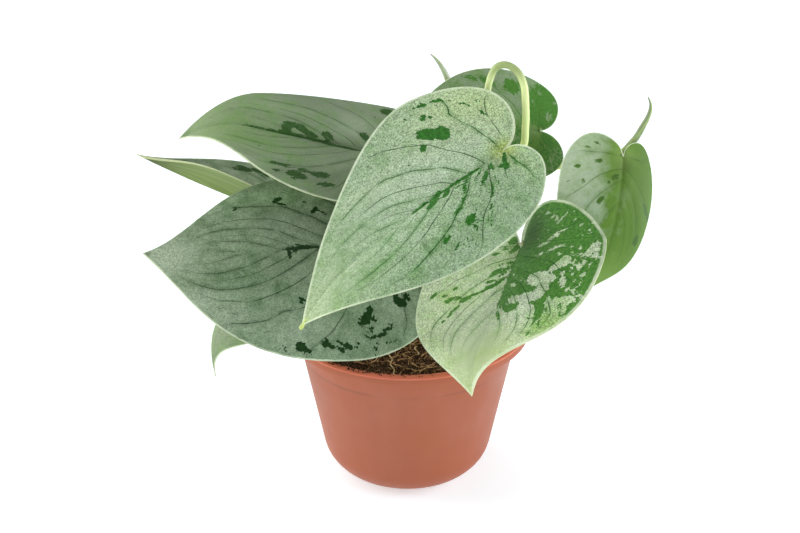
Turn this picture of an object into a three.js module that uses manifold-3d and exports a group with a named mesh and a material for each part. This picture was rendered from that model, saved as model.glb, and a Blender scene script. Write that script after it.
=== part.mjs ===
// Satin pothos in a nursery pot. Millimetres, +Z up, origin at the centre of the pot's flat base.
// Each grown piece is its own mesh: leaf blades, vines with their leaf stalks, rolled new leaves.
import * as THREE from 'three';
import { mergeVertices } from 'three/addons/utils/BufferGeometryUtils.js';
import Module from 'manifold-3d';

// ---- Driving dimensions ----

// Pot: the wall is a cone over a rounded bottom edge, with a flared lip.
const RIM_RADIUS = 60;
const POT_HEIGHT = 80;
const CONE_BASE_RADIUS = 39.4; // where the wall's line would meet the floor
const EDGE_ROUNDING = 18;
const WALL_TOP_RADIUS = 54.4;
const WALL_THIN = 1.4;
const WALL_THICK = 3;
const LIP_DEPTH = 5;
const LIP_WIDTH = 4.5;
const COLLAR_DROP = 15; // the moulded collar line, below the rim
const COLLAR_STEP = 0.5;
const DRAIN_HOLES = 6;
const DRAIN_RADIUS = 3.5;
const DRAIN_CIRCLE = 15;
const NOTCHES = 6;
const NOTCH_WIDTH = 20;
const NOTCH_HEIGHT = 1.8;
const FIRST_NOTCH = -81; // degrees round the pot

// Soil: peat that fills the pot to just under the rim.
const SOIL_LEVEL = 73.5;
const SOIL_LUMP = 1.6;

// Gap between touching pieces.
const SEAT_GAP = 0.35;

// Leaves: all blades share these proportions.
const BLADE_THICKNESS = 0.9;
const LOBE_AT = 0.42; // the lobe's rearmost point, as a share of the half width
const TIP_REACH = 0.36; // how far the pointed tip's straight run reaches back
const STALK_RADIUS = 1.8;
const SEAT_AT = 3; // how far past the sinus a stalk's end lies
const STEM_RADIUS = 3;
const STEM_DEPTH = 20; // how deep a vine stands in the soil
const STEM_CLEARANCE = 0.6; // round a vine in its hole

// Where each blade's stalk joins it (sinus), which way it points (heading, pitch, roll in degrees),
// and its form. Pairs are the left and the right half, seen from the stalk towards the tip.
const LEAVES = {
  leaf_front: {
    sinus: [43, -22, 174], heading: 206, pitch: -30, roll: -14,
    length: 118, halfWidth: [37, 50], widestAt: [0.3, 0.16], lobe: [8, 17], skew: 0,
    fullness: [0.4, 0.26], tipAngle: [42, 30],
    arch: 6, fold: [0.11, 0.16], droop: [13, -3], tipDrop: 7, lobeLift: 6,
  },
  leaf_low_left: {
    sinus: [-6, -9, 123], heading: 189, pitch: -1, roll: -27,
    length: 116, halfWidth: [53, 45], widestAt: [0.22, 0.26], lobe: [17, 12], skew: 0,
    fullness: [0.64, 0.62], tipAngle: [44, 31],
    arch: 4, fold: [-0.12, 0.06], droop: [11, 2], tipDrop: -9, lobeLift: -2,
  },
  leaf_high_left: {
    sinus: [1, 28, 154], heading: 182, pitch: 13, roll: -18,
    length: 111, halfWidth: [42, 38], widestAt: [0.25, 0.16], lobe: [13, 13], skew: 0,
    fullness: [0.55, 0.33], tipAngle: [35, 50],
    arch: -2, fold: [0.2, 0.29], droop: [9, 11], tipDrop: 18, lobeLift: 3,
  },
  leaf_left_edge: {
    sinus: [-34, 47, 109], heading: 181, pitch: 22, roll: 17,
    length: 109, halfWidth: [32, 29], widestAt: [0.28, 0.26], lobe: [12, 12], skew: 0,
    fullness: [0.52, 0.45], tipAngle: [11, 13],
    arch: -4, fold: [0.9, 0.88], droop: [19, 7], tipDrop: 1, lobeLift: 3,
  },
  leaf_low_tip: {
    sinus: [-55, 9, 105], heading: 200, pitch: -46, roll: -12,
    length: 70, halfWidth: [26, 18], widestAt: [0.28, 0.26], lobe: [9, 8], skew: 0,
    fullness: [0.47, 0.45], tipAngle: [10, 15],
    arch: 10, fold: [-0.07, -0.05], droop: [7, 7], tipDrop: 8, lobeLift: 0,
  },
  leaf_right_front: {
    sinus: [51, -29, 132], heading: 248, pitch: -19, roll: 22,
    length: 84, halfWidth: [43, 41], widestAt: [0.17, 0.17], lobe: [25, 23], skew: -0.33,
    fullness: [0.84, 0.71], tipAngle: [13, 50],
    arch: -2, fold: [0.03, 0.09], droop: [5, -3], tipDrop: 10, lobeLift: 1,
  },
  leaf_back: {
    sinus: [68, 60, 156], heading: 171, pitch: -7, roll: -42,
    length: 81, halfWidth: [30, 32], widestAt: [0.26, 0.28], lobe: [11, 9], skew: 0,
    fullness: [0.53, 0.56], tipAngle: [22, 21],
    arch: 11, fold: [0.13, 0.15], droop: [9, 2], tipDrop: 5, lobeLift: 2,
  },
  leaf_right: {
    sinus: [104, 23, 156], heading: 232, pitch: -67, roll: -45,
    length: 70, halfWidth: [20, 28], widestAt: [0.3, 0.24], lobe: [8, 8], skew: 0,
    fullness: [0.75, 0.69], tipAngle: [23, 24],
    arch: 13, fold: [0.07, 0.03], droop: [11, 12], tipDrop: 6, lobeLift: 1,
  },
};

// Vines: a stem that stands in the soil, and a stalk for each leaf it carries. A stalk leaves the
// stem at its first point; "under" is its last stretch, in the blade's own (along, across, up).
const VINES = {
  vine_left: {
    root: [-16, 8],
    stem: [[-16, 8, 78], [-17, 9, 90], [-16, 12, 98], [-12, 16, 107]],
    stalks: {
      leaf_low_tip: { route: [[-17, 9, 86], [-24, 10, 100], [-36, 12, 110]], under: [[-10, 0, -5]] },
      leaf_left_edge: { route: [[-16, 11, 94], [-15, 24, 95], [-19, 36, 96]], under: [[-10, 0, -6]] },
      leaf_high_left: { route: [[-14, 14, 102], [-4, 21, 118], [7, 27, 136]], under: [[-10, 0, -6]] },
    },
    spear: null,
  },
  vine_middle: {
    root: [12, 10],
    stem: [
      [12, 10, 78], [13, 13, 92], [14, 22, 108], [15, 42, 122], [18, 64, 140], [22, 79, 155], [22, 83, 165],
    ],
    stalks: {
      leaf_low_left: { route: [[12, 10, 82], [13, 4, 96], [10, -1, 109]], under: [[-9, 0, -6]] },
      leaf_front: {
        route: [
          [13, 12, 89], [28, 13, 112], [44, 11, 142], [53, 4, 165], [54, 2, 178], [53.6, 1.5, 188],
          [52.6, 3, 197], [49.5, 5, 203], [44.5, 7, 205.5], [40, 9, 203.5], [37.7, 12, 197], [36.8, 15, 188],
          [37, 16, 178],
        ],
        under: [[-2, -12, -9]],
      },
      leaf_back: {
        route: [[14, 18, 103], [28, 36, 118], [46, 54, 128], [58, 65, 137]],
        under: [[8, 4, -11]],
      },
    },
    spear: [[22, 84, 170], [21, 84, 176], [18, 85, 182], [15, 86, 186], [12, 86, 189]],
  },
  vine_right: {
    root: [27, -3],
    stem: [
      [27, -3, 77], [28, 0, 85], [30, 7, 97], [36, 20, 112], [47, 36, 125], [60, 49, 133], [72, 56, 137],
      [82, 57, 139], [92, 53, 142], [99, 46, 146], [103, 40, 150],
    ],
    stalks: {
      leaf_right_front: { route: [[28, 0, 86], [40, -2, 104], [53, -8, 120]], under: [[-9, 0, -6]] },
      leaf_right: { route: [[95, 50, 144], [101, 42, 144]], under: [[1, 0, -8]] },
    },
    spear: [
      [108, 38, 154], [112, 37, 160], [115, 37, 166], [117.5, 37, 172], [118, 37, 177], [116.5, 37, 181],
    ],
  },
};

// Colours of the plain source materials.
const FINISH = {
  plastic: { color: 0xb87058, roughness: 0.45, metalness: 0 },
  peat: { color: 0x3a281c, roughness: 1, metalness: 0 },
  stalk: { color: 0xaac65a, roughness: 0.5, metalness: 0 },
  silver: { color: 0x9db89f, roughness: 0.55, metalness: 0 },
  green: { color: 0x5d9456, roughness: 0.5, metalness: 0 },
};
const GREEN_LEAVES = ['leaf_right_front', 'leaf_right', 'leaf_back', 'leaf_low_tip'];

const DEG = Math.PI / 180;
const clamp = THREE.MathUtils.clamp;
const wasm = await Module();
wasm.setup();

// ---- Solids: closed meshes to and from the boolean library ----

function toSolid(geometry) {
  const bare = geometry.clone();
  bare.deleteAttribute('normal');
  bare.deleteAttribute('uv');
  const merged = mergeVertices(bare, 1e-4);
  const mesh = new wasm.Mesh({
    numProp: 3,
    vertProperties: merged.attributes.position.array,
    triVerts: new Uint32Array(merged.index.array),
  });
  return new wasm.Manifold(mesh);
}

function toGeometry(solid) {
  const mesh = solid.getMesh();
  const geometry = new THREE.BufferGeometry();
  geometry.setAttribute('position', new THREE.BufferAttribute(mesh.vertProperties, 3));
  geometry.setIndex(new THREE.BufferAttribute(mesh.triVerts, 1));
  geometry.computeVertexNormals();
  return geometry;
}

function named(name, geometry, finish) {
  const mesh = new THREE.Mesh(geometry, new THREE.MeshStandardMaterial(FINISH[finish]));
  mesh.name = name;
  return mesh;
}

// A LatheGeometry turns round +Y; this stands it up along +Z.
function turned(profile, segments) {
  const geometry = new THREE.LatheGeometry(profile, segments);
  return geometry.rotateX(Math.PI / 2);
}

// ---- Pot ----

const WALL_TILT = Math.atan2(POT_HEIGHT - LIP_DEPTH - 1, WALL_TOP_RADIUS - CONE_BASE_RADIUS);
const FOOT_RADIUS = CONE_BASE_RADIUS - EDGE_ROUNDING / Math.tan((Math.PI - WALL_TILT) / 2);

// The outer wall's radius at height z, above the rounded edge.
function wallRadius(z) {
  return CONE_BASE_RADIUS + z / Math.tan(WALL_TILT);
}

// The rounded bottom edge, from the floor up to the wall.
function roundedEdge(radius, steps) {
  const points = [];
  for (let i = 0; i <= steps; i += 1) {
    const turn = (i / steps) * WALL_TILT;
    const r = FOOT_RADIUS + radius * Math.sin(turn);
    points.push(new THREE.Vector2(r, EDGE_ROUNDING - radius * Math.cos(turn)));
  }
  return points;
}

function makePot() {
  const collar = POT_HEIGHT - COLLAR_DROP;
  const underLip = POT_HEIGHT - LIP_DEPTH;
  const lipInner = RIM_RADIUS - LIP_WIDTH;
  const outer = [
    new THREE.Vector2(0, 0),
    ...roundedEdge(EDGE_ROUNDING, 6),
    new THREE.Vector2(wallRadius(collar) - COLLAR_STEP, collar),
    new THREE.Vector2(wallRadius(collar), collar + COLLAR_STEP),
    new THREE.Vector2(WALL_TOP_RADIUS, underLip - 1),
    new THREE.Vector2(RIM_RADIUS - 1.2, underLip + 0.6),
    new THREE.Vector2(RIM_RADIUS, underLip + 1.8),
    new THREE.Vector2(RIM_RADIUS, POT_HEIGHT - 0.8),
    new THREE.Vector2(RIM_RADIUS - 0.8, POT_HEIGHT),
  ];
  const inner = [
    new THREE.Vector2(lipInner + 0.6, POT_HEIGHT),
    new THREE.Vector2(lipInner, POT_HEIGHT - 0.6),
    new THREE.Vector2(WALL_TOP_RADIUS - WALL_THIN, underLip - 2),
    ...roundedEdge(EDGE_ROUNDING - WALL_THICK, 5).reverse(),
    new THREE.Vector2(0, WALL_THICK),
  ];
  let pot = toSolid(turned([...outer, ...inner], 40));

  for (let i = 0; i < DRAIN_HOLES; i += 1) {
    const turn = ((i + 0.5) / DRAIN_HOLES) * 2 * Math.PI;
    const hole = new THREE.CylinderGeometry(DRAIN_RADIUS, DRAIN_RADIUS, 4 * WALL_THICK, 12);
    hole.rotateX(Math.PI / 2);
    hole.translate(DRAIN_CIRCLE * Math.cos(turn), DRAIN_CIRCLE * Math.sin(turn), 0);
    pot = pot.subtract(toSolid(hole));
  }
  for (let i = 0; i < NOTCHES; i += 1) {
    const reach = CONE_BASE_RADIUS;
    const notch = new THREE.BoxGeometry(reach, NOTCH_WIDTH, 2 * NOTCH_HEIGHT);
    notch.translate(FOOT_RADIUS - 1 + reach / 2, 0, 0);
    notch.rotateZ(FIRST_NOTCH * DEG + (i / NOTCHES) * 2 * Math.PI);
    pot = pot.subtract(toSolid(notch));
  }
  return named('pot', toGeometry(pot), 'plastic');
}

// ---- Soil ----

// Lumps of the peat's top, highest away from the rim.
function lumps(x, y) {
  const coarse = Math.sin(x * 0.21 + 1.3) * Math.cos(y * 0.18 - 0.4);
  const fine = Math.sin(x * 0.53 - y * 0.37) * Math.sin(y * 0.61 + 0.9);
  return SOIL_LUMP * (0.6 * coarse + 0.4 * fine);
}

function makeSoil() {
  const clear = SEAT_GAP;
  const topRadius = WALL_TOP_RADIUS - WALL_THIN - 1.5 * clear;
  const side = roundedEdge(EDGE_ROUNDING - WALL_THICK - clear, 5);
  const top = [1, 0.83, 0.66, 0.5, 0.33, 0.16, 0];
  const profile = [
    new THREE.Vector2(0, WALL_THICK + clear),
    ...side,
    ...top.map((share) => new THREE.Vector2((topRadius - 0.6) * share, SOIL_LEVEL)),
  ];
  const geometry = turned(profile, 36);
  const place = geometry.attributes.position;
  for (let i = 0; i < place.count; i += 1) {
    const x = place.getX(i);
    const y = place.getY(i);
    const z = place.getZ(i);
    const inside = 1 - (Math.hypot(x, y) / topRadius) ** 6;
    if (z > SOIL_LEVEL - 0.01) place.setZ(i, z + lumps(x, y) * inside);
  }
  let soil = toSolid(geometry);
  for (const vine of Object.values(VINES)) {
    const radius = STEM_RADIUS + STEM_CLEARANCE;
    const hole = new THREE.CylinderGeometry(radius, radius, 2 * STEM_DEPTH, 12);
    hole.rotateX(Math.PI / 2);
    hole.translate(vine.root[0], vine.root[1], SOIL_LEVEL);
    soil = soil.subtract(toSolid(hole));
  }
  return named('soil', toGeometry(soil), 'peat');
}

// ---- Leaf blades ----

const LOBE_ROWS = 4;
const FLANK_ROWS = 5;
const TAPER_ROWS = 10;
const ROWS = LOBE_ROWS + FLANK_ROWS + TAPER_ROWS;
const COLUMNS = 4; // from the midrib to the margin
const RIB_SPREAD = 1.4; // rows start closer together near the sinus
const ROW_BEND = 1.2; // how far the first rows bend outwards, and how much less the next ones do
const ROW_EASE = 0.1;

// The margin of one half, flat, from the sinus round the lobe to the tip: x along, y across.
function margin(leaf, half) {
  const { length, skew } = leaf;
  const width = leaf.halfWidth[half];
  const back = leaf.lobe[half];
  const wide = leaf.widestAt[half] * length;
  const lobeOut = LOBE_AT * width;
  const tipTurn = leaf.tipAngle[half] * DEG;
  const tipRun = TIP_REACH * (length - wide);
  const at = (x, y) => new THREE.Vector2(x, y);
  const rear = at(-back, lobeOut);
  const widest = at(wide, width);
  const round = 0.55;
  const lobe = new THREE.CubicBezierCurve(
    at(0, 0), at(-0.55 * back, 0.05 * lobeOut), at(-back, 0.5 * lobeOut), rear,
  );
  const flank = new THREE.CubicBezierCurve(
    rear, at(-back, lobeOut + round * (width - lobeOut)), at(wide - round * (wide + back), width), widest,
  );
  const taper = new THREE.CubicBezierCurve(
    widest,
    at(wide + leaf.fullness[half] * (length - wide), width),
    at(length - tipRun * Math.cos(tipTurn), tipRun * Math.sin(tipTurn)),
    at(length, 0),
  );
  const points = [
    ...lobe.getPoints(LOBE_ROWS),
    ...flank.getPoints(FLANK_ROWS).slice(1),
    ...taper.getPoints(TAPER_ROWS).slice(1),
  ];
  const sign = half === 0 ? 1 : -1;
  for (const point of points) point.y = sign * point.y + skew * Math.max(0, -point.x);
  return points;
}

// The blade's upper face over its flat plan: bowed along, folded and drooping across.
function bladeHeight(leaf, along, across) {
  const share = along / leaf.length;
  const half = across >= 0 ? 0 : 1;
  const out = Math.abs(across);
  const bow = leaf.arch * (1 - (2 * clamp(share, -0.3, 1) - 1) ** 2);
  const fold = leaf.fold[half] * out;
  const droop = leaf.droop[half] * (out / leaf.halfWidth[half]) ** 2;
  const tip = leaf.tipDrop * clamp((share - 0.7) / 0.3, 0, 1) ** 2;
  const front = 0.1 * leaf.length;
  const behind = clamp((front - along) / (front + leaf.lobe[half]), 0, 1);
  return bow + fold - droop - tip + leaf.lobeLift * behind ** 2;
}

// Rows run across from margin to margin, between one point at the sinus and one at the tip.
function bladeGrid(leaf) {
  const left = margin(leaf, 0);
  const right = margin(leaf, 1);
  const rows = [];
  for (let i = 0; i <= ROWS; i += 1) {
    const rib = new THREE.Vector2(leaf.length * (i / ROWS) ** RIB_SPREAD, 0);
    const row = [];
    for (let j = -COLUMNS; j <= COLUMNS; j += 1) {
      const edge = j < 0 ? right[i] : left[i];
      const share = Math.abs(j) / COLUMNS;
      const spot = rib.clone().lerp(edge, share);
      spot.y += Math.sign(j) * 4 * share * (1 - share) * Math.max(0, ROW_BEND - ROW_EASE * i);
      row.push(spot);
    }
    rows.push(i === 0 || i === ROWS ? [row[COLUMNS]] : row);
  }
  return rows;
}

function makeBlade(name, leaf) {
  const rows = bladeGrid(leaf);
  const flat = rows.flat();
  const count = flat.length;
  const places = [];
  for (const drop of [0, BLADE_THICKNESS]) {
    for (const p of flat) places.push(p.x, p.y, bladeHeight(leaf, p.x, p.y) - drop);
  }

  const faces = [];
  // One triangle on the upper face and its copy on the lower face.
  const both = (a, b, c) => faces.push(a, b, c, a + count, c + count, b + count);
  // The thin edge between the faces, along the margin from a to b.
  const edge = (a, b) => faces.push(a, a + count, b + count, a, b + count, b);
  const wide = 2 * COLUMNS;
  const start = (i) => (i === 0 ? 0 : 1 + (i - 1) * (wide + 1));
  const last = count - 1;
  for (let j = 0; j < wide; j += 1) {
    both(0, start(1) + j, start(1) + j + 1);
    both(last, start(ROWS - 1) + j + 1, start(ROWS - 1) + j);
  }
  for (let i = 1; i < ROWS - 1; i += 1) {
    for (let j = 0; j < wide; j += 1) {
      const a = start(i) + j;
      const b = start(i + 1) + j;
      both(a, b, b + 1);
      both(a, b + 1, a + 1);
    }
  }
  edge(0, start(1));
  edge(start(1) + wide, 0);
  for (let i = 1; i < ROWS - 1; i += 1) {
    edge(start(i), start(i + 1));
    edge(start(i + 1) + wide, start(i) + wide);
  }
  edge(start(ROWS - 1), last);
  edge(last, start(ROWS - 1) + wide);

  const geometry = new THREE.BufferGeometry();
  geometry.setAttribute('position', new THREE.Float32BufferAttribute(places, 3));
  geometry.setIndex(faces);
  geometry.computeVertexNormals();
  const mesh = named(name, geometry, GREEN_LEAVES.includes(name) ? 'green' : 'silver');
  mesh.position.set(...leaf.sinus);
  mesh.rotation.copy(pose(leaf));
  return mesh;
}

// Heading turns round +Z, pitch lifts the tip, roll lifts the left half.
function pose(leaf) {
  return new THREE.Euler(leaf.roll * DEG, -leaf.pitch * DEG, leaf.heading * DEG, 'ZYX');
}

// A point given in the blade's own directions, up counted from its upper face.
function bladePoint(leaf, [along, across, up]) {
  const local = new THREE.Vector3(along, across, bladeHeight(leaf, along, across) + up);
  return local.applyEuler(pose(leaf)).add(new THREE.Vector3(...leaf.sinus));
}

// ---- Stems, stalks and rolled leaves ----

const ROD_STEP = 5.5; // between the rings of a stem or stalk

// A closed tapering rod along a smooth curve through the points, with round ends.
function rod(points, startRadius, endRadius, sides = 8) {
  const curve = new THREE.CatmullRomCurve3(points, false, 'catmullrom', 0.5);
  const steps = Math.max(6, Math.round(curve.getLength() / ROD_STEP));
  const frames = curve.computeFrenetFrames(steps, false);
  const path = curve.getSpacedPoints(steps);
  const profile = [new THREE.Vector2(0, 0)];
  for (let i = 0; i <= steps; i += 1) {
    profile.push(new THREE.Vector2(THREE.MathUtils.lerp(startRadius, endRadius, i / steps), i));
  }
  profile.push(new THREE.Vector2(0, steps));
  const geometry = turned(profile, sides);
  const place = geometry.attributes.position;
  for (let k = 0; k < place.count; k += 1) {
    const i = Math.round(place.getZ(k));
    const spot = path[i].clone();
    spot.addScaledVector(frames.binormals[i], place.getX(k));
    spot.addScaledVector(frames.normals[i], -place.getY(k));
    place.setXYZ(k, spot.x, spot.y, spot.z);
  }
  return toSolid(geometry);
}

const vectors = (points) => points.map((p) => new THREE.Vector3(...p));

// Where a stalk that comes from the given point ends: under the midrib, clear by the seat gap.
function stalkEnd(leaf, from) {
  const slope = bladeHeight(leaf, SEAT_AT + 1, 0) - bladeHeight(leaf, SEAT_AT, 0);
  const face = bladePoint(leaf, [SEAT_AT, 0, -BLADE_THICKNESS]);
  const normal = new THREE.Vector3(-slope, 0, 1).normalize().applyEuler(pose(leaf));
  const way = face.clone().sub(from).normalize();
  const lean = Math.sqrt(1 - way.dot(normal) ** 2);
  return face.addScaledVector(normal, -(SEAT_GAP + lean * STALK_RADIUS));
}

// A vine's stem with its stalks, grown together in one piece.
function makeVine(name, vine) {
  const [x, y] = vine.root;
  const foot = SOIL_LEVEL - STEM_DEPTH + SEAT_GAP;
  const buried = [[x, y, foot], [x, y, foot + STEM_DEPTH / 2]];
  let solid = rod(vectors([...buried, ...vine.stem]), STEM_RADIUS, STALK_RADIUS);
  for (const [leafName, stalk] of Object.entries(vine.stalks)) {
    const leaf = LEAVES[leafName];
    const points = [...vectors(stalk.route), ...stalk.under.map((p) => bladePoint(leaf, p))];
    points.push(stalkEnd(leaf, points.at(-1)));
    solid = solid.add(rod(points, STALK_RADIUS * 1.1, STALK_RADIUS * 0.9));
  }
  return named(name, toGeometry(solid), 'stalk');
}

// A young leaf still rolled up: a spear that stands on the end of its vine.
function makeSpear(name, vine) {
  const [before, end] = vectors(vine.stem.slice(-2));
  const way = end.clone().sub(before).normalize();
  const ahead = (distance) => end.clone().addScaledVector(way, distance);
  const points = [ahead(SEAT_GAP), ahead(2 * STALK_RADIUS), ...vectors(vine.spear)];
  return named(name, toGeometry(rod(points, STALK_RADIUS, 0.4, 10)), 'green');
}

// ---- The plant in its pot ----

const plant = new THREE.Group();
plant.add(makePot());
plant.add(makeSoil());
for (const [name, vine] of Object.entries(VINES)) plant.add(makeVine(name, vine));
for (const [name, leaf] of Object.entries(LEAVES)) plant.add(makeBlade(name, leaf));
plant.add(makeSpear('new_leaf_back', VINES.vine_middle));
plant.add(makeSpear('new_leaf_right', VINES.vine_right));

export default plant;
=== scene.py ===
"""A satin pothos in its nursery pot: the finished looks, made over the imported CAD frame.

Lengths are millimetres, and MM turns them into the frame's metres. The lamps, the paper and the
patterns on Object coordinates are given in metres.
"""

import math
import random
from functools import partial

import bpy
import numpy as np
from mathutils import Euler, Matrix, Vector, noise


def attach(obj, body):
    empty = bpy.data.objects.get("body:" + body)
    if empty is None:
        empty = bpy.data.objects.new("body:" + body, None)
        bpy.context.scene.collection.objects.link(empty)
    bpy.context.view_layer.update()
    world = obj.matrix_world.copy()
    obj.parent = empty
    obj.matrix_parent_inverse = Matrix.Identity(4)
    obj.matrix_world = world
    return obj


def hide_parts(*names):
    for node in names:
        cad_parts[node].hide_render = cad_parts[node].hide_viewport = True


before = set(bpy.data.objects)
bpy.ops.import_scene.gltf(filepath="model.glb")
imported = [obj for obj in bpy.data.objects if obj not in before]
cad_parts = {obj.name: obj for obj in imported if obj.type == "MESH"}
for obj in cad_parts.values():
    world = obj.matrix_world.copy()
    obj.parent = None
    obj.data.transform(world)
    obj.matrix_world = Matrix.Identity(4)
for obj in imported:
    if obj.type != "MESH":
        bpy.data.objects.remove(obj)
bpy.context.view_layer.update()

MM = 0.001
TURN = 2 * math.pi

# ---- Sizes of the pot and the peat, as in the CAD source ----

RIM_RADIUS = 60
POT_HEIGHT = 80
CONE_BASE_RADIUS = 39.4  # where the wall's line would meet the floor
EDGE_ROUNDING = 18
WALL_TOP_RADIUS = 54.4
WALL_THIN = 1.4
WALL_THICK = 3
LIP_DEPTH = 5
LIP_WIDTH = 4.5
COLLAR = POT_HEIGHT - 15
COLLAR_STEP = 0.5
DRAIN_HOLES = 6
DRAIN_RADIUS = 3.5
DRAIN_CIRCLE = 15
NOTCHES = 6
NOTCH_WIDTH = 20
NOTCH_HEIGHT = 1.8
FIRST_NOTCH = math.radians(-81)
SEAT_GAP = 0.35
SOIL_LEVEL = 73.5
SOIL_LUMP = 1.6
SOIL_EDGE = 0.6  # how far the top's edge is set in
WALL_TILT = math.atan2(POT_HEIGHT - LIP_DEPTH - 1, WALL_TOP_RADIUS - CONE_BASE_RADIUS)
FOOT_RADIUS = CONE_BASE_RADIUS - EDGE_ROUNDING / math.tan((math.pi - WALL_TILT) / 2)
SOIL_RADIUS = WALL_TOP_RADIUS - WALL_THIN - 1.5 * SEAT_GAP - SOIL_EDGE

# ---- Sizes of the plant, as in the CAD source ----

BLADE_THICKNESS = 0.9
LOBE_AT = 0.42  # the lobe's rearmost point, as a share of the half width
TIP_REACH = 0.36  # how far the pointed tip's straight run reaches back
LOBE_ROWS = 4
FLANK_ROWS = 5
TAPER_ROWS = 10
ROWS = LOBE_ROWS + FLANK_ROWS + TAPER_ROWS
RIB_SPREAD = 1.4
ROW_BEND = 1.2
ROW_EASE = 0.1
STALK_RADIUS = 1.8
STALK_TAPER = (1.1, 0.2)  # a stalk's girth at its foot, and how much less it is at its top, as shares
SEAT_AT = 3
STEM_RADIUS = 3
STEM_DEPTH = 20

# ---- Relief that the CAD source leaves to this script ----

NODE_SWELL = 0.13  # how much thicker a stem is where a stalk leaves it, as a share
NODE_REACH = 2.2
SHEATH_SWELL = 0.4725  # how much a stalk widens into its sheath, at its foot
SHEATH_REACH = 5
QUILT_RISE = 0.12  # half the height of the bulges between the veins
CHANNEL_DEPTH = 0.45  # over the midrib
RIB_WIDTH = 1.6
THIN_PART = 0.68  # the blade's thickness beside the rib, as a share of the full one
ROLL_TURNS = 2
ROLL_THICKNESS = 0.16
ROOT_LIFT = 0.7  # of a bare root's middle over the peat
ROOT_RADII = (0.38, 0.22)

# Pairs give the left half first, then the right one, seen from above with the tip ahead.
LEAVES = {
    "leaf_front": dict(
        sinus=(43, -22, 174), heading=206, pitch=-30, roll=-14,
        length=118, half_width=(37, 50), widest_at=(0.3, 0.16), lobe=(8, 17), skew=0,
        fullness=(0.4, 0.26), tip_angle=(42, 30),
        arch=6, fold=(0.11, 0.16), droop=(13, -3), tip_drop=7, lobe_lift=6,
    ),
    "leaf_low_left": dict(
        sinus=(-6, -9, 123), heading=189, pitch=-1, roll=-27,
        length=116, half_width=(53, 45), widest_at=(0.22, 0.26), lobe=(17, 12), skew=0,
        fullness=(0.64, 0.62), tip_angle=(44, 31),
        arch=4, fold=(-0.12, 0.06), droop=(11, 2), tip_drop=-9, lobe_lift=-2,
    ),
    "leaf_high_left": dict(
        sinus=(1, 28, 154), heading=182, pitch=13, roll=-18,
        length=111, half_width=(42, 38), widest_at=(0.25, 0.16), lobe=(13, 13), skew=0,
        fullness=(0.55, 0.33), tip_angle=(35, 50),
        arch=-2, fold=(0.2, 0.29), droop=(9, 11), tip_drop=18, lobe_lift=3,
    ),
    "leaf_left_edge": dict(
        sinus=(-34, 47, 109), heading=181, pitch=22, roll=17,
        length=109, half_width=(32, 29), widest_at=(0.28, 0.26), lobe=(12, 12), skew=0,
        fullness=(0.52, 0.45), tip_angle=(11, 13),
        arch=-4, fold=(0.9, 0.88), droop=(19, 7), tip_drop=1, lobe_lift=3,
    ),
    "leaf_low_tip": dict(
        sinus=(-55, 9, 105), heading=200, pitch=-46, roll=-12,
        length=70, half_width=(26, 18), widest_at=(0.28, 0.26), lobe=(9, 8), skew=0,
        fullness=(0.47, 0.45), tip_angle=(10, 15),
        arch=10, fold=(-0.07, -0.05), droop=(7, 7), tip_drop=8, lobe_lift=0,
    ),
    "leaf_right_front": dict(
        sinus=(51, -29, 132), heading=248, pitch=-19, roll=22,
        length=84, half_width=(43, 41), widest_at=(0.17, 0.17), lobe=(25, 23), skew=-0.33,
        fullness=(0.84, 0.71), tip_angle=(13, 50),
        arch=-2, fold=(0.03, 0.09), droop=(5, -3), tip_drop=10, lobe_lift=1,
    ),
    "leaf_back": dict(
        sinus=(68, 60, 156), heading=171, pitch=-7, roll=-42,
        length=81, half_width=(30, 32), widest_at=(0.26, 0.28), lobe=(11, 9), skew=0,
        fullness=(0.53, 0.56), tip_angle=(22, 21),
        arch=11, fold=(0.13, 0.15), droop=(9, 2), tip_drop=5, lobe_lift=2,
    ),
    "leaf_right": dict(
        sinus=(104, 23, 156), heading=232, pitch=-67, roll=-45,
        length=70, half_width=(20, 28), widest_at=(0.3, 0.24), lobe=(8, 8), skew=0,
        fullness=(0.75, 0.69), tip_angle=(23, 24),
        arch=13, fold=(0.07, 0.03), droop=(11, 12), tip_drop=6, lobe_lift=1,
    ),
}

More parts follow.
